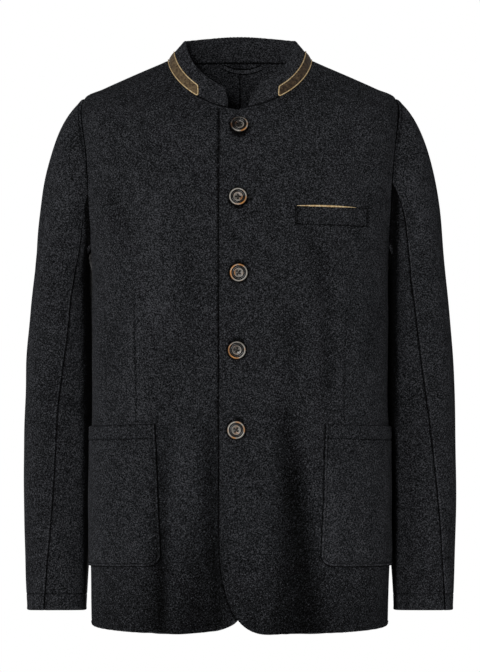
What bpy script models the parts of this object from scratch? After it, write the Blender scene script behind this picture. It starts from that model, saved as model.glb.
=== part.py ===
"""A man's tyrolean jacket of milled loden cloth, standing open and hollow as it is worn, with no wearer.

The origin is the centre of the neck, level with the points where the shoulder seams meet the collar.
+Z is up, the front faces -Y, and +X is the wearer's left. All tables are in millimetres and degrees.

The body is one smooth form, made from rings that climb from the hem to the neck. A point on it is named by
its angle round the body (0 at the centre front, 90 at the side and shoulder seams, 180 at the centre back)
and by how far up the cloth it lies. Each cut piece is a patch of that form, given the cloth's thickness.
"""

import math

import bmesh
import bpy
import mathutils
import numpy as np

MM = 0.001

# Driving sizes, in mm
CLOTH = 2.2  # thickness of the milled wool
SEAM_GAP = 0.3  # between two pieces that meet at a seam
SIDE_Y = 8.0  # the side and shoulder seams lie this far behind the neck's centre
FRONT_REACH = 26.0  # how far the covering left front reaches past the centre line
UNDER_REACH = 22.0  # and how far the covered right front does
LAYER_LIFT = 3.6  # the left front stands out this far where it covers the right one
LIFT_FADE = (30.0, 85.0)  # from the centre line, where that lift starts and ends to fade

HEM_CORNER_WIDTH = 71.0  # the rounded lower corners of the fronts
HEM_CORNER_HEIGHT = 138.0
HEM_CORNER_SQUARENESS = 2.8

# The rings of the body, from hem to neck. "up" counts along the cloth; a ring may climb to the back or sides,
# so it has three heights. Depths run from the line of the side seams. "roll" rounds the top of the shoulder.
RING_NAMES = (
    "up", "front_z", "side_z", "back_z", "half_width", "front_depth", "back_depth", "squareness", "roll"
)
BODY_RINGS = np.array(
    [
        (0, -735.5, -733, -738, 194.5, 136, 122, 2.45, 1.0),  # hem
        (73, -660, -660, -662, 194.5, 135, 118, 2.45, 1.0),  # seat
        (173, -560, -560, -560, 194.0, 134, 111, 2.45, 1.0),  # hip
        (293, -440, -440, -440, 192.0, 134, 102, 2.45, 1.0),  # waist
        (393, -340, -340, -340, 192.5, 140, 104, 2.45, 1.0),  # lower ribs
        (483, -250, -250, -250, 193.5, 145, 112, 2.5, 1.3),  # under the arms
        (535, -205, -190, -195, 200.0, 142, 114, 2.6, 1.6),  # chest
        (590, -170, -120, -143, 204.3, 134, 110, 2.6, 1.6),  # across the armholes
        (645, -140, -49.3, -95, 201.8, 125, 102, 2.5, 1.5),  # through the shoulder points
        (672, -124, -37.5, -71, 177.6, 117, 95, 2.4, 1.45),
        (700, -108, -25, -48, 150.0, 109, 88, 2.3, 1.45),  # half way up the shoulders
        (760, -69, 0, 3, 93.0, 88, 64, 2.15, 1.27),  # neck
    ],
    float,
)
UP_ARMPIT, UP_SHOULDER, UP_NECK = 483.0, 645.0, 760.0

# The armhole, as a loop in angle and up: how far it reaches to the front and back of the side seam.
ARMHOLE_FRONT, ARMHOLE_BACK = 15.5, 24.0
ARMHOLE_SCOOP = 1.12  # above 1, the widest place drops towards the armpit

# Soft upright folds of the fronts below the last button: where, how wide, from what height down, how deep.
FRONT_FOLDS = np.array(
    [
        # x, half_width, top_z, bottom_z, depth
        (60.0, 24.0, -430.0, -733.0, 7.0),
        (-56.0, 21.0, -480.0, -733.0, 6.0),
        (10.0, 34.0, -480.0, -733.0, -3.5),
        (-92.0, 16.0, -560.0, -733.0, -3.0),
    ]
)

# The sleeve below the armhole, one row a ring: x of the outer and inner edge, centre and half depth in y.
SLEEVE_RINGS = np.array(
    [
        # z, outer_x, inner_x, centre_y, half_depth, squareness
        (-278, 270.7, 193.2, 45, 77, 2.4),  # biceps
        (-350, 278.5, 191.8, 57, 76, 2.5),
        (-440, 282.8, 190.8, 62, 71, 2.6),  # elbow
        (-520, 284.4, 192.0, 63, 66, 2.7),
        (-600, 284.4, 194.8, 60, 60, 2.7),
        (-655, 282.2, 199.4, 54, 56, 2.7),
        (-715, 279.5, 202.2, 48, 52, 2.6),  # cuff
    ]
)
# Where the two sleeve seams run, by height: 0 faces away from the body, 90 to the front, 270 to the back.
SEAM_HEIGHTS = np.array([-195, -225, -255, -278, -313, -350, -397, -461, -526, -595, -650, -715], float)
FRONT_SEAM_RIGHT = np.array([96, 103.8, 107.1, 105.2, 101.5, 99.8, 95.6, 90.1, 88.1, 84.6, 80.4, 74.6])
FRONT_SEAM_LEFT = np.array([88.5, 93.4, 98.6, 99.2, 96.8, 94.4, 90.6, 83.7, 77.6, 70.5, 65.8, 59.2])
BACK_SEAM = np.array([246, 247.5, 249, 250, 252, 254, 257, 261, 264, 267, 268.5, 270])
CAP_OUT = 0.54  # how strongly the sleeve head leaves the shoulder sideways
DROP = (73.0, 165.0)  # between these turns, low in front, the sleeve drops at once instead
CUFF_TILT = 0.08  # the cuff hangs lower behind than in front

# Collar
COLLAR_CLOTH = 3.2
COLLAR_GAP = 0.55  # at the neck seam; the facets of the two pieces differ a little
COLLAR_HEIGHTS = (32.5, 33.5, 34.0)  # at the front, side and back
COLLAR_LEANS = (36.0, 39.0, 19.0)  # degrees inwards, at the same places
COLLAR_END_LEFT, COLLAR_END_RIGHT = 7.4, 10.3  # degrees from the centre line
COLLAR_END_HEIGHT = 0.12  # share of the height at which the rounded end begins
COLLAR_CORNERS = (24.0, 15.5)  # length of that rounding along the collar, at its left and right end
COLLAR_CORNER_SQUARENESS = 1.72
INSET_TOP = 0.39  # the leather band covers this share of the collar's height
INSET_END_LEFT, INSET_END_RIGHT = 35.2, 38.6  # degrees from the centre front
INSET_SLANT = 3.2  # degrees by which its end slopes back at the top
INSET_CLOTH = 0.9
PIPING_RADIUS = 0.8

# Patch pockets: angle range, heights at the front edge, and how much lower the rear edge is
POCKET_FRONT_X = (107.0, 101.0)  # top and bottom of the front edge
POCKET_REAR_ANGLE = 91.5
POCKET_TOP_Z, POCKET_BOTTOM_Z = -470.0, -650.0
POCKET_DROP = 7.0
POCKET_CORNER = 16.0
POCKET_PUFF = 2.4  # how far the middle stands out

WELT_X = (69.0, 162.0)
WELT_Z = (-218.5, -195.5)
WELT_TILT = 1.5

BUTTON_RADIUS = 11.6
BUTTON_HOLE_RADIUS, BUTTON_HOLE_PITCH = 1.15, 2.5
BUTTON_XS = (-0.8, -2.5, -1.6, -4.0, -4.8)
BUTTON_HEIGHTS = (-93.3, -185.5, -279.0, -376.2, -477.2)
BUTTON_TURNS = (20.0, 42.0, 5.0, 30.0, 12.0)

LOOP_MIDDLE, LOOP_HALF_SPAN, LOOP_WIDTH, LOOP_SAG, LOOP_CLOTH = 4.0, 25.0, 7.0, 8.5, 1.5


# ---------------------------------------------------------------- small tools


def smooth_table(at, stations, rows):
    """The rows of a table at any station, by cubic pieces that keep the slope of the neighbouring rows."""
    at = np.asarray(at, float)
    rows = np.asarray(rows, float)
    slopes = np.gradient(rows, stations, axis=0)
    first = np.clip(np.searchsorted(stations, at, side="right") - 1, 0, len(stations) - 2)
    step = stations[first + 1] - stations[first]
    t = (at - stations[first]) / step
    if rows.ndim > 1:
        step, t = step[..., None], t[..., None]
    return (
        (2 * t**3 - 3 * t**2 + 1) * rows[first]
        + (t**3 - 2 * t**2 + t) * step * slopes[first]
        + (3 * t**2 - 2 * t**3) * rows[first + 1]
        + (t**3 - t**2) * step * slopes[first + 1]
    )


def ease(t):
    """0 to 1, level at both ends."""
    t = np.clip(t, 0.0, 1.0)
    return t * t * (3 - 2 * t)


def unit(vectors):
    return vectors / np.linalg.norm(vectors, axis=-1, keepdims=True)


def around(front, side, back, angle):
    """A value that goes from front to side to back as the angle goes from 0 to 90 to 180, and back again."""
    toward_front = np.cos(np.radians(angle))
    share = np.abs(toward_front) ** 1.5
    return side + share * (np.where(toward_front > 0, front, back) - side)


# ---------------------------------------------------------------- the body's form


def fold_depth(x, z):
    """How far the soft folds of the fronts sink in at a place; below 0 they stand out."""
    depth = np.zeros(np.broadcast(x, z).shape)
    for place, half_width, top_z, bottom_z, deep in FRONT_FOLDS.tolist():
        across = np.exp(-(((x - place) / half_width) ** 2))
        depth = depth + deep * across * ease((top_z - z) / (top_z - bottom_z)) ** 0.8
    return depth


def body(angle, up):
    """Points of the body's outer face. A ring is a superellipse in polar form, and its height follows the
    angle."""
    angle, up = np.broadcast_arrays(np.asarray(angle, float), np.asarray(up, float))
    ring = dict(zip(RING_NAMES[1:], np.moveaxis(smooth_table(up, BODY_RINGS[:, 0], BODY_RINGS[:, 1:]), -1, 0)))
    sine, cosine = np.sin(np.radians(angle)), np.cos(np.radians(angle))
    depth = np.where(cosine > 0, ring["front_depth"], ring["back_depth"])
    square = ring["squareness"]
    radius = (np.abs(sine / ring["half_width"]) ** square + np.abs(cosine / depth) ** square) ** (-1 / square)
    middle_z = np.where(cosine > 0, ring["front_z"], ring["back_z"])
    z = ring["side_z"] + (middle_z - ring["side_z"]) * np.abs(cosine) ** ring["roll"]
    x = radius * sine
    radius = radius - np.where(cosine > 0, fold_depth(x, z), 0.0)
    return np.stack([radius * sine, SIDE_Y - radius * cosine, z], axis=-1)


def body_normal(angle, up):
    """Outward unit normals of the body's form, from small steps in angle and up."""
    step_angle, step_up = 0.8, 0.5
    up_high = np.minimum(up + step_up, UP_NECK)
    along = body(angle + step_angle, up) - body(angle - step_angle, up)
    upward = body(angle, up_high) - body(angle, up_high - 2 * step_up)
    return unit(np.cross(along, upward))


def angle_at(x, up):
    """The angle at which the front of the body is this far from the centre line, for x well inside the side."""
    angle = np.degrees(np.arctan2(x, smooth_table(up, BODY_RINGS[:, 0], BODY_RINGS[:, 5])))
    for _ in range(8):
        angle = angle + np.degrees((x - body(angle, up)[..., 0]) / 150.0)
    return angle


def front_place(x, z):
    """Angle and up of the point of the front that shows at x and z."""
    up = z + 733.0
    for _ in range(12):
        angle = angle_at(x, up)
        up = np.clip(up + (z - body(angle, up)[..., 2]), 0.0, UP_NECK)
    return angle, up


def lift_at(x):
    """How far the covering left front stands out from the form, by its distance from the centre line."""
    near, far = LIFT_FADE
    return LAYER_LIFT * ease((far - x) / (far - near))


# ---------------------------------------------------------------- patches of the form


def resample(places, count):
    """count places evenly spaced along a line of (angle, up) pairs, measured on the body."""
    points = body(places[:, 0], places[:, 1])
    length = np.concatenate([[0], np.cumsum(np.linalg.norm(np.diff(points, axis=0), axis=1))])
    wanted = np.linspace(0, length[-1], count)
    return np.stack([np.interp(wanted, length, places[:, k]) for k in (0, 1)], axis=-1)


def coons(left, right, bottom, top):
    """The patch between four lines of (angle, up) pairs: each pair of opposite sides is blended, and the blend
    of the corners is taken off."""
    v = np.linspace(0, 1, len(left))[:, None, None]
    u = np.linspace(0, 1, len(bottom))[None, :, None]
    sides = (1 - u) * left[:, None] + u * right[:, None]
    ends = (1 - v) * bottom[None] + v * top[None]
    corners = (1 - v) * ((1 - u) * left[0] + u * right[0]) + v * ((1 - u) * left[-1] + u * right[-1])
    return sides + ends - corners


def armhole(turn, front):
    """Angle and up along half the armhole, with turn from 0 at the armpit to 180 at the shoulder point."""
    reach = -ARMHOLE_FRONT if front else ARMHOLE_BACK
    climb = ((1 - np.cos(np.radians(turn))) / 2) ** ARMHOLE_SCOOP
    angle = 90 + reach * np.sin(np.radians(turn))
    return np.stack([angle, UP_ARMPIT + (UP_SHOULDER - UP_ARMPIT) * climb], axis=-1)


def set_back(angle, up, from_angle, gap=SEAM_GAP / 2 + 0.05):
    """angle, moved off the seam at from_angle by half the gap between two pieces."""
    radius = np.linalg.norm((body(from_angle, up) - (0, SIDE_Y, 0))[..., :2], axis=-1)
    return angle + np.sign(angle - from_angle) * np.degrees(gap / radius)


ROWS_SKIRT, ROWS_CHEST, ROWS_NECK = 12, 6, 10
COLUMNS = 12
NECK_STATIONS = np.array([13, 18, 24, 34, 46, 60, 75, 90], float)  # the collar and the fronts share these points of the neck seam
BACK_STATIONS = np.linspace(180.0, 90.0, ROWS_NECK + 1)
HALF_STATIONS = np.concatenate([NECK_STATIONS, BACK_STATIONS[-2::-1]])
COLLAR_STATIONS = np.concatenate([HALF_STATIONS, 360 - HALF_STATIONS[-2::-1]])


def side_places(front):
    """The side seam and half the armhole, from the hem to the shoulder point."""
    near = 90 - 1e-3 if front else 90 + 1e-3
    up = np.linspace(0, UP_ARMPIT, 40)
    seam = np.stack([set_back(np.full_like(up, near), up, 90.0), up], axis=-1)
    turn = np.linspace(0, 180, 60)
    hole = armhole(turn, front)
    limit = set_back(np.full_like(turn, near), hole[:, 1], 90.0)
    hole[:, 0] = np.minimum(hole[:, 0], limit) if front else np.maximum(hole[:, 0], limit)
    return resample(seam, ROWS_SKIRT + 1), resample(hole, ROWS_CHEST + ROWS_NECK + 1)


def shoulder_places(front):
    near = 90 - 1e-3 if front else 90 + 1e-3
    up = np.linspace(UP_NECK, UP_SHOULDER, 30)
    return resample(np.stack([set_back(np.full_like(up, near), up, 90.0), up], axis=-1), COLUMNS + 1)


def front_grid(reach, neck_dip):
    """(angle, up) grid of one front. reach is how far it passes the centre line, and neck_dip how much its neck
    corner drops."""
    turn = np.radians(np.linspace(0, 90, 31))
    power = 2 / HEM_CORNER_SQUARENESS
    corner_x = -reach + HEM_CORNER_WIDTH * (1 - np.cos(turn) ** power)
    corner_up = HEM_CORNER_HEIGHT * (1 - np.sin(turn) ** power)
    corner = np.stack([angle_at(corner_x, corner_up), corner_up], axis=-1)
    middle = len(corner) // 2
    straight_up = np.linspace(HEM_CORNER_HEIGHT, UP_NECK - neck_dip, 60)
    straight = np.stack([angle_at(np.full_like(straight_up, -reach), straight_up), straight_up], axis=-1)
    edge = np.concatenate([corner[middle::-1], straight[1:]])
    neck_angle = np.concatenate([np.linspace(straight[-1, 0], NECK_STATIONS[0], 4)[:-1], NECK_STATIONS])
    neck_angle[-1] -= 1e-3
    fade = ease((neck_angle - straight[-1, 0]) / 26.0)
    neck = np.stack([neck_angle, UP_NECK - neck_dip * (1 - fade)], axis=-1)
    neck[-1, 0] = set_back(neck[-1, 0], UP_NECK, 90.0)
    side_angle = set_back(90 - 1e-3, 0.0, 90.0)
    hem_angle = np.linspace(corner[-1, 0], side_angle, 30)[1:]
    hem = np.stack([hem_angle, np.zeros_like(hem_angle)], axis=-1)
    bottom = np.concatenate([corner[middle:], hem])
    seam, hole = side_places(front=True)
    left = np.concatenate([resample(edge, ROWS_SKIRT + ROWS_CHEST + 1), neck[1:]])
    right = np.concatenate([seam, hole[1:]])
    return coons(left, right, resample(bottom, COLUMNS + 1), shoulder_places(front=True))


def back_grid():
    """(angle, up) grid of one half of the back, from the centre back seam to the side."""
    up = np.linspace(0, UP_NECK, 60)
    centre = np.stack([set_back(np.full_like(up, 180 - 1e-3), up, 180.0), up], axis=-1)
    neck_angle = np.concatenate([centre[-1:, 0], BACK_STATIONS[1:-1], [90 + 1e-3]])
    neck = np.stack([neck_angle, np.full_like(neck_angle, UP_NECK)], axis=-1)
    neck[-1, 0] = set_back(neck[-1, 0], UP_NECK, 90.0)
    hem_angle = np.linspace(centre[0, 0], set_back(90 + 1e-3, 0.0, 90.0), 30)
    hem = np.stack([hem_angle, np.zeros_like(hem_angle)], axis=-1)
    seam, hole = side_places(front=False)
    left = np.concatenate([resample(centre, ROWS_SKIRT + ROWS_CHEST + 1), neck[1:]])
    right = np.concatenate([seam, hole[1:]])
    return coons(left, right, resample(hem, COLUMNS + 1), shoulder_places(front=False))


# ---------------------------------------------------------------- the sleeve's form


def armhole_ring(turn):
    """Points of the armhole: turn 0 at the shoulder, 90 at the front, 180 at the armpit, 270 at the back."""
    turn = np.mod(turn, 360.0)
    in_front = turn <= 180
    front = armhole(180 - turn, True)
    back = armhole(turn - 180, False)
    places = np.where(in_front[..., None], front, back)
    return body(places[..., 0], places[..., 1])


def sleeve_ring(turn, z):
    """Points of the hanging sleeve at a height, a superellipse between its outer and inner edge."""
    values = smooth_table(-z, -SLEEVE_RINGS[:, 0], SLEEVE_RINGS[:, 1:])
    outer_x, inner_x, centre_y, half_depth, square = np.moveaxis(values, -1, 0)
    cosine, sine = np.cos(np.radians(turn)), np.sin(np.radians(turn))
    half_width = (outer_x - inner_x) / 2
    radius = (np.abs(cosine / half_width) ** square + np.abs(sine / half_depth) ** square) ** (-1 / square)
    x = (outer_x + inner_x) / 2 + radius * cosine
    y = centre_y - radius * sine
    tilted = z - CUFF_TILT * (y + 4.0) * ease((-440.0 - z) / 275.0)
    return np.stack(np.broadcast_arrays(x, y, tilted), axis=-1)


BICEPS_Z, CUFF_Z = SLEEVE_RINGS[0, 0], SLEEVE_RINGS[-1, 0]
HEAD = 0.3  # share of the sleeve's parameter that its head takes


def sleeve(turn, along):
    """Points of the sleeve's outer face, along from 0 at the armhole to 1 at the cuff. The head is one cubic
    for each turn, which leaves the armhole outwards and arrives hanging straight down."""
    turn, along = np.broadcast_arrays(np.asarray(turn, float), np.asarray(along, float))
    t = np.clip(along / HEAD, 0.0, 1.0)[..., None]
    start, end = armhole_ring(turn), sleeve_ring(turn, np.full(turn.shape, BICEPS_Z))
    span = np.linalg.norm(end - start, axis=-1, keepdims=True)
    top = np.cos(np.radians(turn))
    forward = np.sin(np.radians(turn))
    round_turn = np.mod(turn, 360.0)
    drop = ease((round_turn - DROP[0]) / 45.0) * ease((DROP[1] - round_turn) / 40.0)
    leave_x = 0.1 + CAP_OUT * (1 - drop)
    leave = np.stack([leave_x, (0.58 * drop - 0.28) * forward, 0.12 * top - 0.54 - 0.31 * drop], axis=-1) * span
    below = sleeve_ring(turn, np.full(turn.shape, BICEPS_Z - 1.0))
    arrive = (below - end) * span * 0.9
    head = (
        (2 * t**3 - 3 * t**2 + 1) * start
        + (t**3 - 2 * t**2 + t) * leave
        + (3 * t**2 - 2 * t**3) * end
        + (t**3 - t**2) * arrive
    )
    z = BICEPS_Z + (CUFF_Z - BICEPS_Z) * np.clip((along - HEAD) / (1 - HEAD), 0.0, 1.0)
    return np.where((along <= HEAD)[..., None], head, sleeve_ring(turn, z))


def sleeve_normal(turn, along):
    step_turn, step_along = 0.5, 0.004
    low = np.clip(along - step_along, 0.0, 1.0)
    high = np.clip(along + step_along, 0.0, 1.0)
    across = sleeve(turn + step_turn, along) - sleeve(turn - step_turn, along)
    return unit(np.cross(across, sleeve(turn, high) - sleeve(turn, low)))


def seam_turn(seam, along):
    """The turn of a sleeve seam, which is read from its table by the height that the sleeve has there."""
    height = np.interp(along, [0, HEAD, 1], [-195.0, BICEPS_Z, CUFF_Z])
    return smooth_table(-height, -SEAM_HEIGHTS, seam)


# ---------------------------------------------------------------- the collar's form


def collar(angle, rise):
    """Points of the collar's outer face, from its seam (rise 0) to its top edge (rise 1). It leans inwards. On
    the left of the centre line it starts from the lifted front."""
    angle, rise = np.broadcast_arrays(np.asarray(angle, float), np.asarray(rise, float))
    half = np.where(angle > 180, 360 - angle, angle)
    base = body(half, np.full(half.shape, UP_NECK))
    lifted = np.where(angle < 180, lift_at(base[..., 0]) * (half < 90), 0.0)
    seam = np.full(half.shape, UP_NECK)
    upward = unit(body(half, seam) - body(half, seam - 2.0))
    base = base + lifted[..., None] * body_normal(half, seam) + COLLAR_GAP * upward
    height = around(*COLLAR_HEIGHTS, half)
    lean = np.radians(around(*COLLAR_LEANS, half))
    outward = np.stack([np.sin(np.radians(half)), -np.cos(np.radians(half)), 0 * half], axis=-1)
    slope = -outward * np.sin(lean)[..., None] + (0, 0, 1) * np.cos(lean)[..., None]
    belly = outward * (1.2 * np.sin(np.pi * rise))[..., None]
    point = base + slope * (height * rise)[..., None] + belly
    point[..., 0] = np.where(angle > 180, -point[..., 0], point[..., 0])
    return point


def collar_normal(angle, rise):
    step_angle, step_rise = 0.3, 0.01
    across = collar(angle + step_angle, rise) - collar(angle - step_angle, rise)
    return unit(np.cross(across, collar(angle, rise + step_rise) - collar(angle, rise - step_rise)))


# ---------------------------------------------------------------- materials and meshes


def material(name, colour, roughness):
    made = bpy.data.materials.new(name)
    made.use_nodes = True
    shader = made.node_tree.nodes["Principled BSDF"]
    shader.inputs["Base Color"].default_value = (*colour, 1.0)
    shader.inputs["Roughness"].default_value = roughness
    shader.inputs["Metallic"].default_value = 0.0
    return made


def add_object(name, mesh, finish):
    made = bpy.data.objects.new(name, mesh)
    bpy.context.scene.collection.objects.link(made)
    mesh.materials.append(finish)
    return made


def wall(name, outer, inner, finish):
    """One closed solid between two grids of points (rows, columns, 3), in mm, with its rim closed."""
    rows, columns = outer.shape[:2]
    index = np.arange(rows * columns).reshape(rows, columns)
    quads = np.stack([index[:-1, :-1], index[:-1, 1:], index[1:, 1:], index[1:, :-1]], axis=-1).reshape(-1, 4)
    rim = rim_of(index)
    follow = np.roll(rim, -1)
    shift = rows * columns
    sides = np.stack([follow, rim, rim + shift, follow + shift], axis=-1)
    faces = np.concatenate([quads, quads[:, ::-1] + shift, sides])
    mesh = bpy.data.meshes.new(name)
    points = np.concatenate([outer.reshape(-1, 3), inner.reshape(-1, 3)]) * MM
    mesh.from_pydata(points.tolist(), [], faces.tolist())
    shaped = bmesh.new()
    shaped.from_mesh(mesh)
    bmesh.ops.recalc_face_normals(shaped, faces=shaped.faces)
    shaped.to_mesh(mesh)
    shaped.free()
    mesh.shade_smooth()
    mesh.set_sharp_from_angle(angle=math.radians(40))
    return add_object(name, mesh, finish)


def mirrored(points, side):
    """Points of the wearer's left side, or their mirror image for the right."""
    return points * np.array([1.0 if side == "left" else -1.0, 1.0, 1.0])


# ---------------------------------------------------------------- the pieces


def build_fronts(cloth):
    """The left front covers the right one, so it is lifted near the centre line."""
    for side, reach, neck_dip in (("left", FRONT_REACH, 10.0), ("right", UNDER_REACH, 7.0)):
        angle, up = np.moveaxis(front_grid(reach, neck_dip), -1, 0)
        normal = body_normal(angle, up)
        outer = body(angle, up)
        if side == "left":
            outer = outer + normal * lift_at(outer[..., 0])[..., None]
        else:
            outer, normal = body(-angle, up), body_normal(-angle, up)
        wall(f"front_{side}", outer, outer - normal * CLOTH, cloth)


def build_backs(cloth):
    angle, up = np.moveaxis(back_grid(), -1, 0)
    outer, normal = body(angle, up), body_normal(angle, up)
    for side in ("left", "right"):
        wall(f"back_{side}", mirrored(outer, side), mirrored(outer - normal * CLOTH, side), cloth)


def build_sleeves(cloth):
    rows = np.concatenate([np.linspace(0.003, HEAD, 8), np.linspace(HEAD, 1, 12)[1:]])[:, None]
    gap = 0.3
    for side, front_seam in (("left", FRONT_SEAM_LEFT), ("right", FRONT_SEAM_RIGHT)):
        front, back = seam_turn(front_seam, rows), seam_turn(BACK_SEAM, rows)
        spans = {"upper": (back - 360 + gap, front - gap, 11), "under": (front + gap, back - gap, 8)}
        for name, (start, end, columns) in spans.items():
            turn = start + (end - start) * np.linspace(0, 1, columns + 1)[None]
            along = np.broadcast_to(rows, turn.shape)
            normal = sleeve_normal(turn, along)
            outer = sleeve(turn, along)
            wall(f"sleeve_{name}_{side}", mirrored(outer, side), mirrored(outer - normal * CLOTH, side), cloth)


def end_share(distance, corner):
    """Share of the collar's full height near a rounded front end, a quarter of a superellipse."""
    t = np.clip(1 - distance / corner, 0.0, 1.0)
    squareness = COLLAR_CORNER_SQUARENESS
    return COLLAR_END_HEIGHT + (1 - COLLAR_END_HEIGHT) * (1 - t**squareness) ** (1 / squareness)


def build_collar(cloth):
    first, last = COLLAR_END_LEFT, 360 - COLLAR_END_RIGHT
    left_end, right_end = np.linspace(0, 1, 4)[:3] ** 1.5, np.linspace(0, 1, 4)[:3] ** 1.5
    angle = np.concatenate(
        [
            first + (COLLAR_STATIONS[0] - first) * left_end,
            COLLAR_STATIONS,
            (last + (COLLAR_STATIONS[-1] - last) * right_end)[::-1],
        ]
    )
    arc = np.radians(1) * 88.0  # mm for each degree near the front
    left, right = COLLAR_CORNERS
    full = np.minimum(end_share((angle - first) * arc, left), end_share((last - angle) * arc, right))
    rise = np.linspace(0, 1, 4)[:, None] * full[None]
    angles = np.broadcast_to(angle, rise.shape)
    outer = collar(angles, rise)
    half = np.where(angles > 180, 360 - angles, angles)
    at_seam = body_normal(half, np.full(half.shape, UP_NECK))
    at_seam[..., 0] = np.where(angles > 180, -at_seam[..., 0], at_seam[..., 0])
    share = ease(rise / 0.33)[..., None]
    through = unit(at_seam + (collar_normal(angles, rise) - at_seam) * share)
    wall("collar", outer, outer - through * COLLAR_CLOTH, cloth)


def build_collar_inset(leather, edging):
    """A leather band lies on the lower part of the collar and runs round the back of the neck. Its edge is
    piped."""
    bottom = 0.07
    share = np.linspace(0, 1, 4)[:, None]
    slant = INSET_SLANT * share**1.4
    start, finish = INSET_END_LEFT + slant, 360 - INSET_END_RIGHT - slant
    between = COLLAR_STATIONS[(COLLAR_STATIONS > 55) & (COLLAR_STATIONS < 305)]
    between = np.broadcast_to(between, (4, len(between)))
    first, last = (start + between[:, :1]) / 2, (finish + between[:, -1:]) / 2
    angle = np.concatenate([start, first, between, last, finish], axis=1)
    rise = np.broadcast_to(bottom + (INSET_TOP - bottom) * share, angle.shape)
    surface, normal = collar(angle, rise), collar_normal(angle, rise)
    wall("collar_inset", surface + normal * (0.5 + INSET_CLOTH), surface + normal * 0.5, leather)

    edge = rim_of(surface)
    line = edge + outward_of(edge, rim_of(normal)) * (PIPING_RADIUS + 0.35)
    tube("collar_piping", line + rim_of(normal) * (PIPING_RADIUS + 0.4), PIPING_RADIUS, edging, closed=True)


def rim_of(grid):
    """The points round the edge of a grid, in order."""
    return np.concatenate([grid[0, :], grid[1:, -1], grid[-1, -2::-1], grid[-2:0:-1, 0]])


def outward_of(edge, normal):
    """For each point of a closed line on a surface, the step that moves both its segments out by one unit."""
    before = unit(edge - np.roll(edge, 1, axis=0))
    after = unit(np.roll(edge, -1, axis=0) - edge)
    aside = unit(np.cross(before, normal)), unit(np.cross(after, normal))
    return (aside[0] + aside[1]) / (1 + np.sum(aside[0] * aside[1], axis=-1, keepdims=True))


def tube(name, line, radius, finish, closed=False):
    """A round cord along a line of points, in mm."""
    curve = bpy.data.curves.new(name, "CURVE")
    curve.dimensions = "3D"
    curve.bevel_depth = radius * MM
    curve.bevel_resolution = 1
    curve.use_fill_caps = not closed
    spline = curve.splines.new("POLY")
    spline.points.add(len(line) - 1)
    for knot, place in zip(spline.points, line * MM):
        knot.co = (*place, 1.0)
    spline.use_cyclic_u = closed
    return add_object(name, curve, finish)


def build_pockets(cloth):
    """Each patch pocket lies on the front from near its dart to the side seam, with round lower corners."""
    across = np.array([0, 0.025, 0.06, 0.11, 0.22, 0.33, 0.44, 0.55, 0.67, 0.78, 0.89, 0.94, 0.975, 1.0])
    u, v = np.meshgrid(across, np.linspace(0, 1, 8))
    for side in ("left", "right"):
        sign = 1.0 if side == "left" else -1.0
        height = POCKET_TOP_Z - POCKET_BOTTOM_Z
        top_angle = angle_at(POCKET_FRONT_X[0], POCKET_TOP_Z + 733)
        bottom_angle = angle_at(POCKET_FRONT_X[1], POCKET_BOTTOM_Z + 733)
        front = bottom_angle + (top_angle - bottom_angle) * v
        angle = front + (POCKET_REAR_ANGLE - front) * u
        z = POCKET_BOTTOM_Z + height * v - POCKET_DROP * u
        width = 165.0
        to_side = np.minimum(u, 1 - u) * width
        short = np.clip(1 - to_side / POCKET_CORNER, 0, 1)
        z = z + (1 - v) ** 2 * POCKET_CORNER * (1 - np.sqrt(1 - short**2 * 0.96))
        up = z + 733.0
        point, normal = body(sign * angle, up), body_normal(sign * angle, up)
        puff = POCKET_PUFF * (np.sin(np.pi * u) ** 0.6) * np.sin(np.pi * np.clip(v * 0.62 + 0.03, 0, 1))
        outer = point + normal * (0.7 + CLOTH + puff)[..., None]
        wall(f"pocket_{side}", outer, outer - normal * CLOTH, cloth)


def build_chest_pocket(cloth, edging):
    """A welt on the left chest. A narrow piped edge shows above it."""
    columns = 6
    x = np.linspace(*WELT_X, columns + 1)[None]
    tilt = WELT_TILT * (WELT_X[0] - x) / (WELT_X[1] - WELT_X[0])
    z = np.linspace(*WELT_Z, 3)[:, None] + tilt
    angle, up = front_place(np.broadcast_to(x, z.shape), z)
    point, normal = body(angle, up), body_normal(angle, up)
    base = lift_at(point[..., 0])[..., None] + 0.6
    wall("chest_welt", point + normal * (base + 2.0), point + normal * base, cloth)

    inset = 1.5
    x = np.linspace(WELT_X[0] + inset, WELT_X[1] - inset, columns + 1)
    z = WELT_Z[1] + WELT_TILT * (WELT_X[0] - x) / (WELT_X[1] - WELT_X[0]) + 1.7
    angle, up = front_place(x, z)
    line = body(angle, up) + body_normal(angle, up) * (lift_at(x)[:, None] + 1.9)
    tube("chest_welt_piping", line, 1.2, edging)


def build_hanger_loop(cloth):
    """A strip of cloth whose ends go into the neck seam at the back. It hangs in a shallow bow."""
    along = np.linspace(-1, 1, 11)
    bow = 1 - along**2
    neck = body(180.0, UP_NECK)
    middle_z = neck[2] - 1.5 - LOOP_WIDTH / 2 - (LOOP_SAG - LOOP_WIDTH / 2) * bow
    z = middle_z[None] + np.array([-0.5, 0.5])[:, None] * LOOP_WIDTH
    angle = np.broadcast_to(180 - np.degrees(np.arctan2(LOOP_MIDDLE + LOOP_HALF_SPAN * along, neck[1] - SIDE_Y)), z.shape)
    up = np.full(z.shape, UP_NECK - 10.0)
    for _ in range(12):
        up = up + (z - body(angle, up)[..., 2])
    normal = body_normal(angle, up)
    outer = body(angle, up) - normal * (CLOTH + 0.5 + 1.8 * bow)[..., None]
    wall("hanger_loop", outer, outer - normal * LOOP_CLOTH, cloth)


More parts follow.
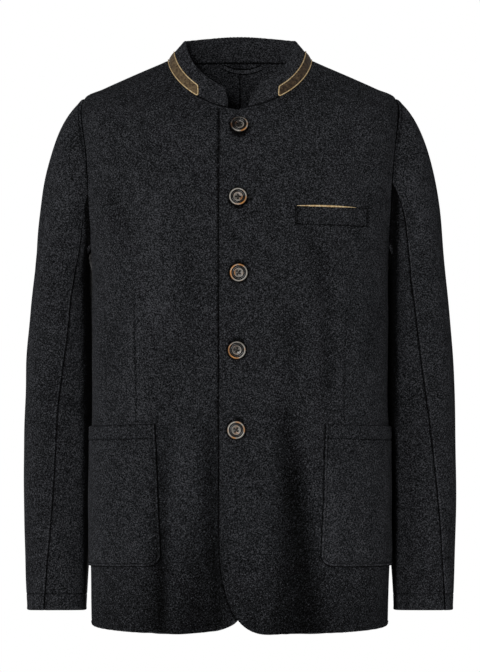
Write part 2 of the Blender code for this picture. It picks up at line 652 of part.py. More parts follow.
def button_mesh():
    """A turned horn button: flat back, raised rim, a groove and a dished middle with four holes."""
    front = [(0, 2.6), (4.2, 2.6), (5.4, 3.1), (7.2, 3.0), (8.2, 2.5), (9.2, 3.5), (10.6, 3.7)]
    back = [(BUTTON_RADIUS, 2.4), (10.8, 0.5), (9.6, 0), (0, 0)]
    shaped = bmesh.new()
    knots = [shaped.verts.new((radius * MM, 0, height * MM)) for radius, height in front + back]
    edges = [shaped.edges.new(pair) for pair in zip(knots, knots[1:])]
    bmesh.ops.spin(
        shaped, geom=knots + edges, axis=(0, 0, 1), cent=(0, 0, 0), angle=2 * math.pi, steps=20, use_merge=True
    )
    bmesh.ops.remove_doubles(shaped, verts=shaped.verts, dist=1e-6)
    bmesh.ops.recalc_face_normals(shaped, faces=shaped.faces)
    mesh = bpy.data.meshes.new("button")
    shaped.to_mesh(mesh)
    shaped.free()
    mesh.shade_smooth()
    mesh.set_sharp_from_angle(angle=math.radians(40))
    return mesh


def hole_cutter():
    """Four pegs, one for each thread hole, joined in one mesh that only cuts."""
    shaped = bmesh.new()
    for k in range(4):
        turn = math.radians(45 + 90 * k)
        wide = BUTTON_HOLE_RADIUS * MM
        made = bmesh.ops.create_cone(
            shaped, cap_ends=True, segments=6, radius1=wide, radius2=wide, depth=12 * MM
        )
        reach = BUTTON_HOLE_PITCH * MM
        outward = (reach * math.cos(turn), reach * math.sin(turn), 0)
        bmesh.ops.translate(shaped, verts=made["verts"], vec=outward)
    mesh = bpy.data.meshes.new("hole_cutter")
    shaped.to_mesh(mesh)
    shaped.free()
    cutter = bpy.data.objects.new("hole_cutter", mesh)
    bpy.context.scene.collection.objects.link(cutter)
    cutter.hide_render = True
    cutter.display_type = "WIRE"
    return cutter


def build_buttons(horn):
    """Five buttons sewn through the left front, each flat on the cloth and turned a little differently."""
    mesh = button_mesh()
    mesh.materials.append(horn)
    for number, (x, z, turn) in enumerate(zip(BUTTON_XS, BUTTON_HEIGHTS, BUTTON_TURNS), start=1):
        angle, up = front_place(np.array(x), np.array(z))
        normal = body_normal(angle, up)
        place = body(angle, up) + normal * (LAYER_LIFT + 0.55)
        facing = math.atan2(normal[2], -normal[1])
        made = bpy.data.objects.new(f"button_{number}", mesh)
        bpy.context.scene.collection.objects.link(made)
        made.rotation_mode = "XYZ"
        made.location = place * MM
        tilt = mathutils.Matrix.Rotation(math.radians(90) - facing, 4, "X")
        made.rotation_euler = (tilt @ mathutils.Matrix.Rotation(math.radians(turn), 4, "Z")).to_euler()
        bpy.context.view_layer.update()
        cutter = hole_cutter()
        cutter.name = f"hole_cutter_{number}"
        cutter.matrix_world = made.matrix_world
        holes = made.modifiers.new("thread_holes", "BOOLEAN")
        holes.object = cutter
        holes.operation = "DIFFERENCE"
        holes.solver = "EXACT"


def main():
    for old in list(bpy.data.objects):
        bpy.data.objects.remove(old)
    cloth = material("milled_wool", (0.016, 0.018, 0.020), 0.95)
    leather = material("suede", (0.085, 0.065, 0.045), 0.85)
    edging = material("leather_piping", (0.50, 0.33, 0.18), 0.6)
    horn = material("horn", (0.10, 0.075, 0.05), 0.35)
    build_fronts(cloth)
    build_backs(cloth)
    build_sleeves(cloth)
    build_collar(cloth)
    build_collar_inset(leather, edging)
    build_pockets(cloth)
    build_chest_pocket(cloth, edging)
    build_hanger_loop(cloth)
    build_buttons(horn)


main()
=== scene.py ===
# %% [markdown]
# # A tyrolean jacket of milled loden wool
# The jacket stands as it is worn, hollow and with no wearer. Its plain solids are already packed: they give
# every piece its place and size. This lesson makes the fine cloth over them, piece by piece, as a tailor cuts
# them: two fronts, two half backs, four sleeve pieces, a collar with a suede band, pockets, buttons and thread.

import bmesh
import bpy
import numpy as np
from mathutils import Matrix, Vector


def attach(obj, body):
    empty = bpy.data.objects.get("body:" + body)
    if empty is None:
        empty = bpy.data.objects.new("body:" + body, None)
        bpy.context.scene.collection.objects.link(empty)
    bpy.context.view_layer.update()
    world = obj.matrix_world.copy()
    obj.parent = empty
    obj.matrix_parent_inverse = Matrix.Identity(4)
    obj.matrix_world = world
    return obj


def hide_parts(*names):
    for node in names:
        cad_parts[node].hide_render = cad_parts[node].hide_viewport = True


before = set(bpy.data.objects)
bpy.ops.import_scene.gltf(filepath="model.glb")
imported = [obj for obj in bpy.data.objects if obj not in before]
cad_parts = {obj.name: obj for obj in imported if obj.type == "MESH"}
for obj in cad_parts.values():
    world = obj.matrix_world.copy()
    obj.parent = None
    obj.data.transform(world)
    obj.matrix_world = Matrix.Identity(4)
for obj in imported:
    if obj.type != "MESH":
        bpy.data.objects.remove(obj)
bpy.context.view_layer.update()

MM = 0.001
print("nodes in the frame:", len(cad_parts))

# %% [markdown]
# ## Tables read by height
# A tailor's form is a stack of rings, and so is a sleeve. Each row of a table is one ring, and a smooth curve
# through the rows gives every ring between them. Cubic pieces that share their neighbours' slopes keep the
# silhouette free of corners, and that is why they are used here and not straight lines.

# %% Small tools for tables and curves


def cubic(t, start, end, leave, arrive):
    """Hermite's cubic: from start to end as t goes from 0 to 1, with the slopes leave and arrive."""
    ahead = 3 * t**2 - 2 * t**3
    return (1 - ahead) * start + ahead * end + (t**3 - 2 * t**2 + t) * leave + (t**3 - t**2) * arrive


def smooth_table(at, stations, rows):
    """A row of the table at any station. Each stretch is a cubic through two rows, with the slopes that their
    neighbours give."""
    at, rows = np.asarray(at, float), np.asarray(rows, float)
    slopes = np.gradient(rows, stations, axis=0)
    first = np.clip(np.searchsorted(stations, at, side="right") - 1, 0, len(stations) - 2)
    step = stations[first + 1] - stations[first]
    t = (at - stations[first]) / step
    if rows.ndim > 1:
        step, t = step[..., None], t[..., None]
    return cubic(t, rows[first], rows[first + 1], step * slopes[first], step * slopes[first + 1])


def ease(t):
    """0 to 1, level at both ends: 3t squared less 2t cubed."""
    t = np.clip(t, 0.0, 1.0)
    return t * t * (3 - 2 * t)


def near(distance, reach=1.2):
    """A bell: 1 on a line, fading away over the reach beside it."""
    return np.exp(-((distance / reach) ** 2))


def rounding(distance, radius):
    """How far a rounded edge falls away: a quarter circle, from 1 at the edge to 0 at the radius inside it."""
    return 1 - np.sqrt(1 - np.clip(1 - distance / radius, 0, 1) ** 2)


def superellipse(a, b, square):
    """Its radius in polar form, (a^n + b^n)^(-1/n), where a and b are sine and cosine over the half axes."""
    return (np.abs(a) ** square + np.abs(b) ** square) ** (-1 / square)


def sin_cos(degrees):
    return np.sin(np.radians(degrees)), np.cos(np.radians(degrees))


def unit(vectors):
    return vectors / np.maximum(np.linalg.norm(vectors, axis=-1, keepdims=True), 1e-12)


def raised(base, normal, height):
    """Each point moved along its normal by its height."""
    return base + normal * np.asarray(height)[..., None]


def walked(line):
    """Distance walked along a line of points, from its first."""
    return np.concatenate([[0], np.cumsum(np.linalg.norm(np.diff(line, axis=0), axis=1))])


# %% [markdown]
# ## The body's form
# The trunk of a jacket is close to a rounded rectangle in plan, and near the neck its rings tilt, because the
# shoulder seam lies higher than the chest. One function of an angle and of a height along the cloth gives the
# whole of it, so neighbouring panels meet exactly. The soft upright folds of the skirts belong to the form.

# %% Rings of the body, in mm
SIDE_Y, HEM_Z = 8.0, -733.0
# Up the cloth; z in front, at the side and behind; half width; depth in front and behind; squareness; and how
# fast the height turns from the side's to the middle's.
BODY_RINGS = np.array(
    [
        (0, -735.5, -733, -738, 194.5, 136, 122, 2.45, 1.0),  # hem
        (73, -660, -660, -662, 194.5, 135, 118, 2.45, 1.0),  # seat
        (173, -560, -560, -560, 194.0, 134, 111, 2.45, 1.0),  # hip
        (293, -440, -440, -440, 192.0, 134, 102, 2.45, 1.0),  # waist
        (393, -340, -340, -340, 192.5, 140, 104, 2.45, 1.0),  # lower ribs
        (483, -250, -250, -250, 193.5, 145, 112, 2.5, 1.3),  # under the arms
        (535, -205, -190, -195, 200.0, 142, 114, 2.6, 1.6),  # chest
        (590, -170, -120, -143, 204.3, 134, 110, 2.6, 1.6),  # across the armholes
        (645, -140, -49.3, -95, 201.8, 125, 102, 2.5, 1.5),  # through the shoulder points
        (672, -124, -37.5, -71, 177.6, 117, 95, 2.4, 1.45),
        (700, -108, -25, -48, 150.0, 109, 88, 2.3, 1.45),  # half way up the shoulders
        (760, -69, 0, 3, 93.0, 88, 64, 2.15, 1.27),  # neck
    ],
    float,
)
UP_ARMPIT, UP_SHOULDER, UP_NECK = 483.0, 645.0, 760.0
# x, half width, z of the top, and depth at the hem, below 0 a ridge
FRONT_FOLDS = [(60, 24, -430, 7.0), (-56, 21, -480, 6.0), (10, 34, -480, -3.5), (-92, 16, -560, -3.0)]


def fold_depth(x, z):
    """The sum of bell-shaped folds across x, which grow from nothing at their top to full depth at the hem."""
    depth = 0.0
    for place, wide, top, deep in FRONT_FOLDS:
        depth = depth + deep * near(x - place, wide) * ease((top - z) / (top - HEM_Z)) ** 0.8
    return depth


def body(angle, up):
    """A ring is a superellipse with half_width at the side and depth at the middle. Its height runs from the
    side's to the middle's with a power of the angle's cosine."""
    angle, up = np.broadcast_arrays(np.asarray(angle, float), np.asarray(up, float))
    values = smooth_table(up, BODY_RINGS[:, 0], BODY_RINGS[:, 1:])
    front_z, side_z, back_z, half_width, front_depth, back_depth, square, roll = np.moveaxis(values, -1, 0)
    sine, cosine = sin_cos(angle)
    ahead = cosine > 0
    radius = superellipse(sine / half_width, cosine / np.where(ahead, front_depth, back_depth), square)
    z = side_z + (np.where(ahead, front_z, back_z) - side_z) * np.abs(cosine) ** roll
    radius = radius - np.where(ahead, fold_depth(radius * sine, z), 0.0)
    return np.stack([radius * sine, SIDE_Y - radius * cosine, z], axis=-1)


def body_normal(angle, up):
    """The outward unit normal: the cross product of small steps round and up the form."""
    high = np.minimum(np.asarray(up, float) + 0.5, UP_NECK)
    along = body(np.asarray(angle) + 0.8, up) - body(np.asarray(angle) - 0.8, up)
    return unit(np.cross(along, body(angle, high) - body(angle, high - 1.0)))


def on_body(angle, up):
    return body(angle, up), body_normal(angle, up)


UP_WAIST, MEAN_RADIUS = 293.0, 150.0
WAIST_ANGLES = np.linspace(-200, 200, 801)
WAIST_GIRTH = walked(body(WAIST_ANGLES, UP_WAIST))
WAIST_GIRTH = WAIST_GIRTH - np.interp(0, WAIST_ANGLES, WAIST_GIRTH)


def girth_at(angle):
    """How far round the waist an angle lies from the centre front, in mm."""
    return np.interp(angle, WAIST_ANGLES, WAIST_GIRTH)


def angle_at(x, up):
    """The angle at which the front lies this far from the centre line, found in a few corrections."""
    angle = np.degrees(np.arctan2(x, smooth_table(up, BODY_RINGS[:, 0], BODY_RINGS[:, 5])))
    for _ in range(8):
        angle = angle + np.degrees((x - body(angle, up)[..., 0]) / MEAN_RADIUS)
    return angle


def front_place(x, z):
    """Angle and up of the point of the front that shows at x and z."""
    x, z = np.broadcast_arrays(np.asarray(x, float), np.asarray(z, float))
    up = z - HEM_Z
    for _ in range(12):
        angle = angle_at(x, up)
        up = np.clip(up + (z - body(angle, up)[..., 2]), 0.0, UP_NECK)
    return angle, up


print("girth at the waist: %.0f mm" % (2 * girth_at(180.0)))

# %% [markdown]
# ## Creases
# Cloth over a hollow form never hangs quite smooth. Each crease is a soft trough or ridge along a short line,
# named by where it starts and ends, how wide it is and how deep. They are placed one by one, uneven from side to
# side, because a crease has a cause: a pull at the armhole, a bend at the elbow, slack below a button. A slow
# waviness of half a millimetre takes the machine-made look off what lies between.

# %% The crease tables and how they are read
BODY_CREASES = [
    # girth, z, girth, z, half_width, depth (below 0 a ridge)
    (-41, -430, -33, -700, 10, 5.0),
    (-36, -590, -22, -850, 12, 5.5),
    (-72, -440, -68, -660, 13, -2.6),
    (-102, -425, -100, -800, 9, 4.5),
    (-104, -560, -106, -880, 15, 4.0),
    (-520, -738, 520, -738, 50, 2.6),
    (-182, -160, -120, -250, 15, 2.2),
    (-60, -212, -64, -370, 13, 1.8),
    (-110, -130, -95, -400, 30, -2.0),
    (-38, -372, -118, -398, 13, 1.6),
    (-160, -330, -205, -420, 18, 2.0),
    (52, -410, 72, -620, 13, 4.6),
    (66, -470, 106, -850, 17, 6.4),
    (6, -440, 10, -560, 18, -0.8),
    (106, -500, 112, -680, 17, -3.0),
    (78, -208, 112, -340, 11, 3.4),
    (60, -220, 88, -360, 14, -2.0),
    (108, -300, 112, -470, 9, 3.0),
    (60, -290, 64, -450, 12, 2.4),
    (180, -165, 132, -245, 14, 1.8),
    (206, -300, 168, -400, 18, 1.8),
    (268, -262, 318, -345, 16, 2.2),
    (-262, -258, -322, -352, 17, 2.4),
    (300, -470, 292, -738, 24, 2.6),
    (-306, -500, -298, -738, 22, 3.0),
    (404, -480, 418, -738, 24, 3.8),
    (-398, -500, -410, -738, 26, 3.4),
    (362, -520, 366, -738, 22, -2.6),
    (-452, -520, -462, -738, 24, -2.8),
    (455, -170, 398, -330, 22, 2.4),
    (-448, -185, -392, -320, 22, 2.0),
    (-480, -372, -372, -386, 15, 1.8),
    (470, -352, 366, -374, 14, 1.6),
]
SLEEVE_CREASES = [
    # turn, z, turn, z, half_width, depth
    (99, -140, 97, -236, 10, 2.6),
    (76, -120, 80, -262, 13, -1.7),
    (22, -190, 12, -400, 24, 1.3),
    (62, -424, 128, -446, 9, 1.7),
    (72, -452, 122, -468, 8, 1.2),
    (60, -482, 104, -490, 9, 0.9),
    (46, -560, 58, -700, 16, 1.1),
    (236, -392, 290, -424, 12, 1.8),
    (240, -440, 286, -452, 11, 1.3),
    (300, -300, 318, -520, 22, 1.2),
    (252, -150, 262, -250, 13, 2.2),
]


def creases(across, z, table):
    """The sum of the troughs. Each is a bell across its line, and fades in and out over its first and last
    third."""
    depth = np.zeros(across.shape)
    for a0, z0, a1, z1, half_width, deep in table:
        line = np.array([a1 - a0, z1 - z0])
        length = np.hypot(*line)
        t = ((across - a0) * line[0] + (z - z0) * line[1]) / length**2
        off = ((across - a0) * line[1] - (z - z0) * line[0]) / length
        depth = depth + deep * near(off, half_width) * ease(t / 0.34) * ease((1 - t) / 0.34)
    return depth


def waviness(across, z, seed):
    """Five long sine waves in different directions, about half a millimetre in all."""
    draw = np.random.default_rng(seed)
    height = np.zeros(across.shape)
    for _ in range(5):
        turn, start = draw.uniform(0, 2 * np.pi, 2)
        wave = draw.uniform(55, 150)
        height = height + 0.16 * np.sin(2 * np.pi * (across * np.cos(turn) + z * np.sin(turn)) / wave + start)
    return height


def slow_relief(angle, z, seed):
    """Waviness less creases, which whatever lies on the body follows too."""
    girth = girth_at(angle)
    return waviness(girth, z, seed) - creases(girth, z, BODY_CREASES)


def fold_shade(across, z, table):
    """Cloth deep in a fold sees less of the room, and lies darker."""
    return 0.075 * np.clip(creases(across, z, table), -2.0, 9.0)


print("creases: %d on the body, %d on each sleeve" % (len(BODY_CREASES), len(SLEEVE_CREASES)))

# %% [markdown]
# ## Materials
# A material starts from what the real thing is. One helper adds a node with its settings and links, and one
# turns a hex colour, as a colour chart gives it, into the linear values that a shader counts with. Uniform
# values sit on the shader's own sockets.

# %% Two helpers for materials


def linear(hex_colour):
    """sRGB hex to linear RGBA: below 0.04045 a division, above it a power of 2.4."""
    values = np.array([int(hex_colour[k : k + 2], 16) / 255 for k in (1, 3, 5)])
    values = np.where(values <= 0.04045, values / 12.92, ((values + 0.055) / 1.055) ** 2.4)
    return (*values.tolist(), 1.0)


def new_material(name, **sockets):
    """A material with its shader's sockets filled, each named with _ for a space."""
    made = bpy.data.materials.new(name)
    made.use_nodes = True
    for key, value in sockets.items():
        made.node_tree.nodes["Principled BSDF"].inputs[key.replace("_", " ")].default_value = value
    return made


def add(material, kind, settings=(), out=0, to=None, **links):
    """Adds a node and gives back its output. settings fills its properties, its sockets and, as stops of place
    and hex colour, its ramp. to is the shader's socket that it feeds. links joins its sockets to other outputs,
    by name or, as i0 or i1, by number."""
    nodes, link = material.node_tree.nodes, material.node_tree.links.new
    node = nodes.new("ShaderNode" + kind)
    for key, value in dict(settings).items():
        if key == "stops":
            while len(node.color_ramp.elements) < len(value):
                node.color_ramp.elements.new(0.5)
            for element, (place, colour) in zip(node.color_ramp.elements, value):
                element.position, element.color = place, linear(colour)
        elif isinstance(key, str) and hasattr(node, key):
            setattr(node, key, value)
        else:
            node.inputs[key].default_value = value
    for key, source in links.items():
        link(source, node.inputs[int(key[1:]) if key[1:].isdigit() and key[0] == "i" else key])
    if to:
        link(node.outputs[out], nodes["Principled BSDF"].inputs[to])
    return node.outputs[out]


# %% [markdown]
# ### Milled loden
# Loden is woven from yarn whose fibres were dyed apart and blended, here black, charcoal and a little light
# grey. The woven cloth is then milled until its surface felts over: no threads show, only a matt, melange
# speckle. Real fibres are 0.03 mm thick, far too fine to show, so the flecks are drawn at 1.5 to 3 mm, as coarse
# as the eye gathers them. Wool has an IOR near 1.55, but the felted nap scatters nearly everything. Each piece
# carries an attribute of painted shade, from 0 in the open to 1 deep in a seam, a fold or under an edge, where
# little light gets in, and below 0 on a few ridges, where it is a painted highlight. It shifts the speckle
# towards its dark colours, so shade and highlight are painted into the cloth's colour.

# %% Loden
charcoal = new_material("loden_charcoal", Diffuse_Roughness=1.0, Roughness=1.0, IOR=1.5, Specular_IOR_Level=0.05)
place = add(charcoal, "TexCoord", out="Object")
place = add(charcoal, "Mapping", {"Rotation": (0.5, 0.7, 0.3)}, Vector=place)
lay = add(charcoal, "Mapping", {"Scale": (0.8, 1.0, 1.0), "Rotation": (0.5, 0.9, 0.3)}, Vector=place)
fleck = add(charcoal, "TexNoise", {"Scale": 620.0, "Detail": 1.0, "Roughness": 0.6}, Vector=place)
fibre = add(charcoal, "TexNoise", {"Scale": 900.0, "Detail": 0.0}, Vector=lay)
blotch = add(charcoal, "TexNoise", {"Scale": 62.0, "Detail": 3.0, "Roughness": 0.6}, Vector=place)
tone = add(charcoal, "Math", {"operation": "MULTIPLY_ADD", 1: 0.3, 2: -0.05}, i0=fibre)
tone = add(charcoal, "Math", {"operation": "MULTIPLY_ADD", 1: 0.7}, i0=fleck, i2=tone)
tone = add(charcoal, "Math", {"operation": "MULTIPLY_ADD", 1: 0.1}, i0=blotch, i2=tone)
add(charcoal, "Bump", {"Strength": 0.3, "Distance": 0.0006}, to="Normal", Height=tone)
# Painted shade: the attribute darkens the speckle where shade falls, and lightens it on painted highlights
hollow = add(charcoal, "Attribute", {"attribute_name": "hollow"}, out="Fac")
tone = add(charcoal, "Math", {"operation": "MULTIPLY_ADD", 1: -0.2}, i0=hollow, i2=tone)
# The near-black first stop is reached only under deep painted shade
stops = [(0.29, "#030303"), (0.37, "#0d0d0e"), (0.46, "#1c1d1f"), (0.54, "#2d2e31"), (0.64, "#4d4e52")]
add(charcoal, "ValToRGB", {"stops": stops}, to="Base Color", Fac=tone)
print("made", charcoal.name)

# %% [markdown]
# ### Suede, piping leather, horn and thread
# Suede is the buffed inner side of a hide: no gloss, and a nap that looks darker one way than the other as light
# falls on it; here that is painted into its colour, as painted shade on the wearer's left and painted light on
# the right. The piping is a strip of smooth tan calf round a cord, with a low shine. Horn buttons are sawn,
# turned and
# polished: streaks run along the horn, grey here and amber there. Their rims carry a painted highlight, and their
# groove, holes and underside painted shade. Keratin's IOR is about 1.54. Sewing thread is polyester in the
# cloth's own grey, and brown for the buttons.

# %% Suede, calf, horn, thread
suede = new_material("suede", Roughness=0.9, IOR=1.5, Specular_IOR_Level=0.15, Sheen_Weight=0.12)
place = add(suede, "TexCoord", out="Object")
nap_and_painted_side_shade = add(suede, "TexNoise", {"Scale": 210.0, "Detail": 3.0, "Roughness": 0.65}, Vector=place)
grain = add(suede, "TexNoise", {"Scale": 900.0, "Detail": 1.0}, Vector=place)
tone = add(suede, "Math", {"operation": "MULTIPLY_ADD", 1: 0.45}, i0=grain, i2=nap_and_painted_side_shade)
add(suede, "Bump", {"Strength": 0.4, "Distance": 0.0004}, to="Normal", Height=tone)
# Painted shade on one side of the band and painted light on the other, read from the band's attribute
suede_painted_side_shade = add(suede, "Attribute", {"attribute_name": "hollow"}, out="Fac")
tone = add(suede, "Math", {"operation": "MULTIPLY_ADD", 1: -0.4}, i0=suede_painted_side_shade, i2=tone)
stops = [(0.50, "#2b2119"), (0.70, "#4e3e2d"), (0.92, "#756349")]
add(suede, "ValToRGB", {"stops": stops}, to="Base Color", Fac=tone)

calf = new_material("calf_piping", Roughness=0.5, IOR=1.5, Specular_IOR_Level=0.4)
place = add(calf, "TexCoord", out="Object")
pores = add(calf, "TexNoise", {"Scale": 520.0, "Detail": 2.0}, Vector=place)
add(calf, "Bump", {"Strength": 0.3, "Distance": 0.0002}, to="Normal", Height=pores)
stops = [(0.32, "#ad8a5c"), (0.52, "#d9bd8d"), (0.72, "#efdcb6")]
add(calf, "ValToRGB", {"stops": stops}, to="Base Color", Fac=pores)

horn = new_material("polished_horn", Roughness=0.34, IOR=1.54, Coat_Weight=0.15, Coat_Roughness=0.2)
place = add(horn, "TexCoord", out="Object")
along = add(horn, "Mapping", {"Rotation": (0.0, 0.6, 0.0), "Scale": (1.0, 1.0, 0.4)}, Vector=place)
streak = add(horn, "TexNoise", {"Scale": 150.0, "Detail": 3.0, "Roughness": 0.6, "Distortion": 0.6}, Vector=along)
tone = add(horn, "Math", {"operation": "MULTIPLY_ADD", 1: 0.5, 2: 0.75}, i0=streak)
# Painted highlight and shade from the button's attribute: rims lighter, the groove, holes, underside and one side
# of some buttons dark
turned = add(horn, "Attribute", {"attribute_name": "hollow"}, out="Fac")
tone = add(horn, "Math", {"operation": "SUBTRACT"}, i0=tone, i1=turned)
stops = [(0.1, "#090807"), (0.45, "#37322e"), (0.62, "#6e6962"), (0.95, "#b3aea4")]
grey = add(horn, "ValToRGB", {"stops": stops}, Fac=tone)
stops = [(0.1, "#0b0705"), (0.45, "#442c1a"), (0.62, "#7d5530"), (0.95, "#d09250")]
amber = add(horn, "ValToRGB", {"stops": stops}, Fac=tone)
patches = add(horn, "TexNoise", {"Scale": 95.0, "Detail": 1.0}, Vector=place)
share = add(horn, "Math", {"operation": "MULTIPLY_ADD", 1: 8.0, 2: -3.9, "use_clamp": True}, i0=patches)
add(horn, "MixRGB", to="Base Color", Fac=share, Color1=grey, Color2=amber)

threads = []
for name, scale, dark, light in (
    ("sewing_thread", 900.0, "#0e0f10", "#202225"),
    ("button_thread", 1400.0, "#0d0c0b", "#1f1c1a"),
):
    made = new_material(name, Roughness=0.7, IOR=1.5, Specular_IOR_Level=0.3)
    place = add(made, "TexCoord", out="Object")
    twist = add(made, "TexWave", {"Scale": scale, "Distortion": 1.0}, out="Fac", Vector=place)
    add(made, "ValToRGB", {"stops": [(0.2, dark), (0.8, light)]}, to="Base Color", Fac=twist)
    threads.append(made)
thread, button_thread = threads
print("made", ", ".join(material.name for material in (suede, calf, horn, *threads)))

# %% [markdown]
# ## Cloth as a shell
# Each piece is a grid of points on its outer face, with a second grid a cloth's thickness inside it. The two
# are joined round the rim by a middle line that stands out a little, which rounds the edge as milled wool
# rounds it. Whole arrays go into the mesh, and the map of the surface counts in metres of cloth.

# %% Shells and their measures


def steps_along(grid, axis):
    """Distance walked along rows or columns of a grid, from its first line."""
    walked = np.cumsum(np.linalg.norm(np.diff(grid, axis=axis), axis=-1), axis=axis)
    return np.concatenate([np.zeros_like(np.take(walked, [0], axis=axis)), walked], axis=axis)


def grid_normals(grid):
    """Unit normals: the cross product of the slopes along columns and along rows."""
    return unit(np.cross(np.gradient(grid, axis=1), np.gradient(grid, axis=0)))


def rim_of(grid):
    """The points round the edge of a grid, in order."""
    return np.concatenate([grid[0, :], grid[1:, -1], grid[-1, -2::-1], grid[-2:0:-1, 0]])


def inside_rim(grid):
    """For each rim point, its neighbour one step inside the grid."""
    inner = grid.copy()
    inner[0], inner[-1] = grid[1], grid[-2]
    inner[1:-1, 0], inner[1:-1, -1] = grid[1:-1, 1], grid[1:-1, -2]
    return rim_of(inner)


def cells(index, right):
    """The quads between rows of point numbers, from each point to the one on its right."""
    low, high = np.s_[..., :-1, :], np.s_[..., 1:, :]
    return np.stack([index[low], right[low], right[high], index[high]], axis=-1).reshape(-1, 4)


def strips(sides):
    """The quads that close a ring of points, as strips across it."""
    k = np.arange(sides // 2 - 1)
    return np.stack([k, k + 1, sides - 2 - k, sides - 1 - k], axis=-1)


def joined(forms):
    """Several forms as one: their points in a row, and their quads counted on."""
    starts = np.cumsum([0] + [len(points) for points, _ in forms[:-1]])
    quads = np.concatenate([quads + at for (_, quads), at in zip(forms, starts)])
    return np.concatenate([points for points, _ in forms]), quads


def put_mesh(name, points, quads, material, uv=None, hollow=None):
    """A mesh object at the origin, from points in mm and quads of point numbers. The painted shade of each point,
    from 0 in the open to 1 deep in a seam or under an edge, darkens its colour; below 0 it is a painted
    highlight."""
    mesh = bpy.data.meshes.new(name)
    mesh.vertices.add(len(points))
    mesh.vertices.foreach_set("co", (points * MM).astype(np.float32).ravel())
    mesh.loops.add(quads.size)
    mesh.loops.foreach_set("vertex_index", quads.astype(np.int32).ravel())
    mesh.polygons.add(len(quads))
    mesh.polygons.foreach_set("loop_start", np.arange(0, quads.size, quads.shape[1], dtype=np.int32))
    mesh.update(calc_edges=True)
    if uv is not None:
        layer = mesh.uv_layers.new(name="cloth")
        layer.data.foreach_set("uv", (uv[quads.ravel()] * MM).astype(np.float32).ravel())
    if hollow is not None:
        mesh.attributes.new("hollow", "FLOAT", "POINT").data.foreach_set("value", hollow.astype(np.float32))
    mesh.validate()
    mesh.shade_smooth()
    mesh.materials.append(material)
    made = bpy.data.objects.new(name, mesh)
    bpy.context.scene.collection.objects.link(made)
    return made


def shell(name, outer, inner, material, bulge=0.4, hollow=0.0, rim_hollow=1.0, behind=0.0):
    """A closed wall: outer grid, inner grid, and between their rims a middle line that stands out a little.
    The painted shade of each point of the outer and of the inner grid is given apart, and the rim's middle line
    is painted at least as dark as the rim's own value."""
    hollow, behind = (np.clip(deep + np.zeros(outer.shape[:2]), -0.5, 1.2) for deep in (hollow, behind))
    if (grid_normals(outer) * (outer - inner)).sum() < 0:
        outer, inner, hollow, behind = outer[:, ::-1], inner[:, ::-1], hollow[:, ::-1], behind[:, ::-1]
    rows, columns = outer.shape[:2]
    count = rows * columns
    index = np.arange(count).reshape(rows, columns)
    quads = cells(index[:, :-1], index[:, 1:])
    rim, middle = rim_of(index), 2 * count + np.arange(2 * (rows + columns) - 4)
    follow, middle_follow = np.roll(rim, -1), np.roll(middle, -1)
    wall = np.linalg.norm(rim_of(outer) - rim_of(inner), axis=-1, keepdims=True)
    edge = (rim_of(outer) + rim_of(inner)) / 2 + unit(rim_of(outer) - inside_rim(outer)) * wall * bulge
    first = np.stack([follow, rim, middle, middle_follow], axis=-1)
    second = np.stack([middle_follow, middle, rim + count, follow + count], axis=-1)
    faces = np.concatenate([quads, quads[:, ::-1] + count, first, second])
    uv = np.stack([steps_along(outer, 1), steps_along(outer, 0)], axis=-1)
    uv = np.concatenate([uv.reshape(-1, 2), uv.reshape(-1, 2) + (0, BACK_OF_MAP), rim_of(uv)])
    points = np.concatenate([outer.reshape(-1, 3), inner.reshape(-1, 3), edge])
    # Painted shade on the rim's middle line: at least its given value, so every edge reads dark
    deep = np.concatenate([hollow.ravel(), behind.ravel(), np.maximum(rim_of(hollow), rim_hollow)])
    return put_mesh(name, points, faces, material, uv, deep)


def finish_piece(piece, slot, *nodes):
    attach(piece, "root")
    if nodes:
        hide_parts(*nodes)


BACK_OF_MAP = 1500  # in mm: the map of a wall's inner side lies this far beside that of its outer side
grids = {}  # the outer face of each piece, on which its stitches are laid


def as_cloth(node, outer, inner, held, rests_on, kind="cloth", material=charcoal, slot="milled_wool", **wall):
    piece = shell(f"{node}_{kind}", outer, inner, material, **wall)
    finish_piece(piece, slot, node)
    grids[node] = outer


def distance_to(points, line):
    """Shortest distance from each point of a grid to a dense line of points, one row of the grid at a time."""
    return np.stack([np.linalg.norm(row[:, None] - line[None], axis=-1).min(axis=1) for row in points])


def dense(line, step=0.8):
    """A line of points, evenly spaced again at the step."""
    far = walked(line)
    wanted = np.linspace(0, far[-1], max(2, int(far[-1] / step)))
    return np.stack([np.interp(wanted, far, column) for column in line.T], axis=-1)


# %% [markdown]
# ## Stitches
# A row of topstitching is hundreds of short threads that dip into the cloth. Each is a spindle of a few faces,
# laid along the seam line and half sunk. All of a row are made in one go: one small spindle, carried to every
# place by its tangent and normal.

# %% A row of stitches
STITCH, STITCH_LENGTH = 3.4, 2.5  # from one stitch to the next, and how long each shows, as on heavy wool


def spindle_row(centres, tangent, normal, radius):
    """Many spindles: a ring of five points at each of five stations, thick in the middle and dipping at both
    ends."""
    station = np.array([-0.5, -0.3, 0.0, 0.3, 0.5])[:, None, None]
    thick = np.array([0.15, 0.85, 1.0, 0.85, 0.15])[:, None, None] * radius
    sine, cosine = sin_cos(np.arange(5) * 72.0)
    side = unit(np.cross(normal, tangent))
    centres, tangent, normal, side = (rows[:, None, None] for rows in (centres, tangent, normal, side))
    points = centres + tangent * station * STITCH_LENGTH + normal * (0.25 - 1.76 * station**2)
    points = points + (cosine[:, None] * side + sine[:, None] * normal) * thick
    index = np.arange(points.size // 3).reshape(-1, 5, 5)
    return points.reshape(-1, 3), cells(index, np.roll(index, -1, axis=2))


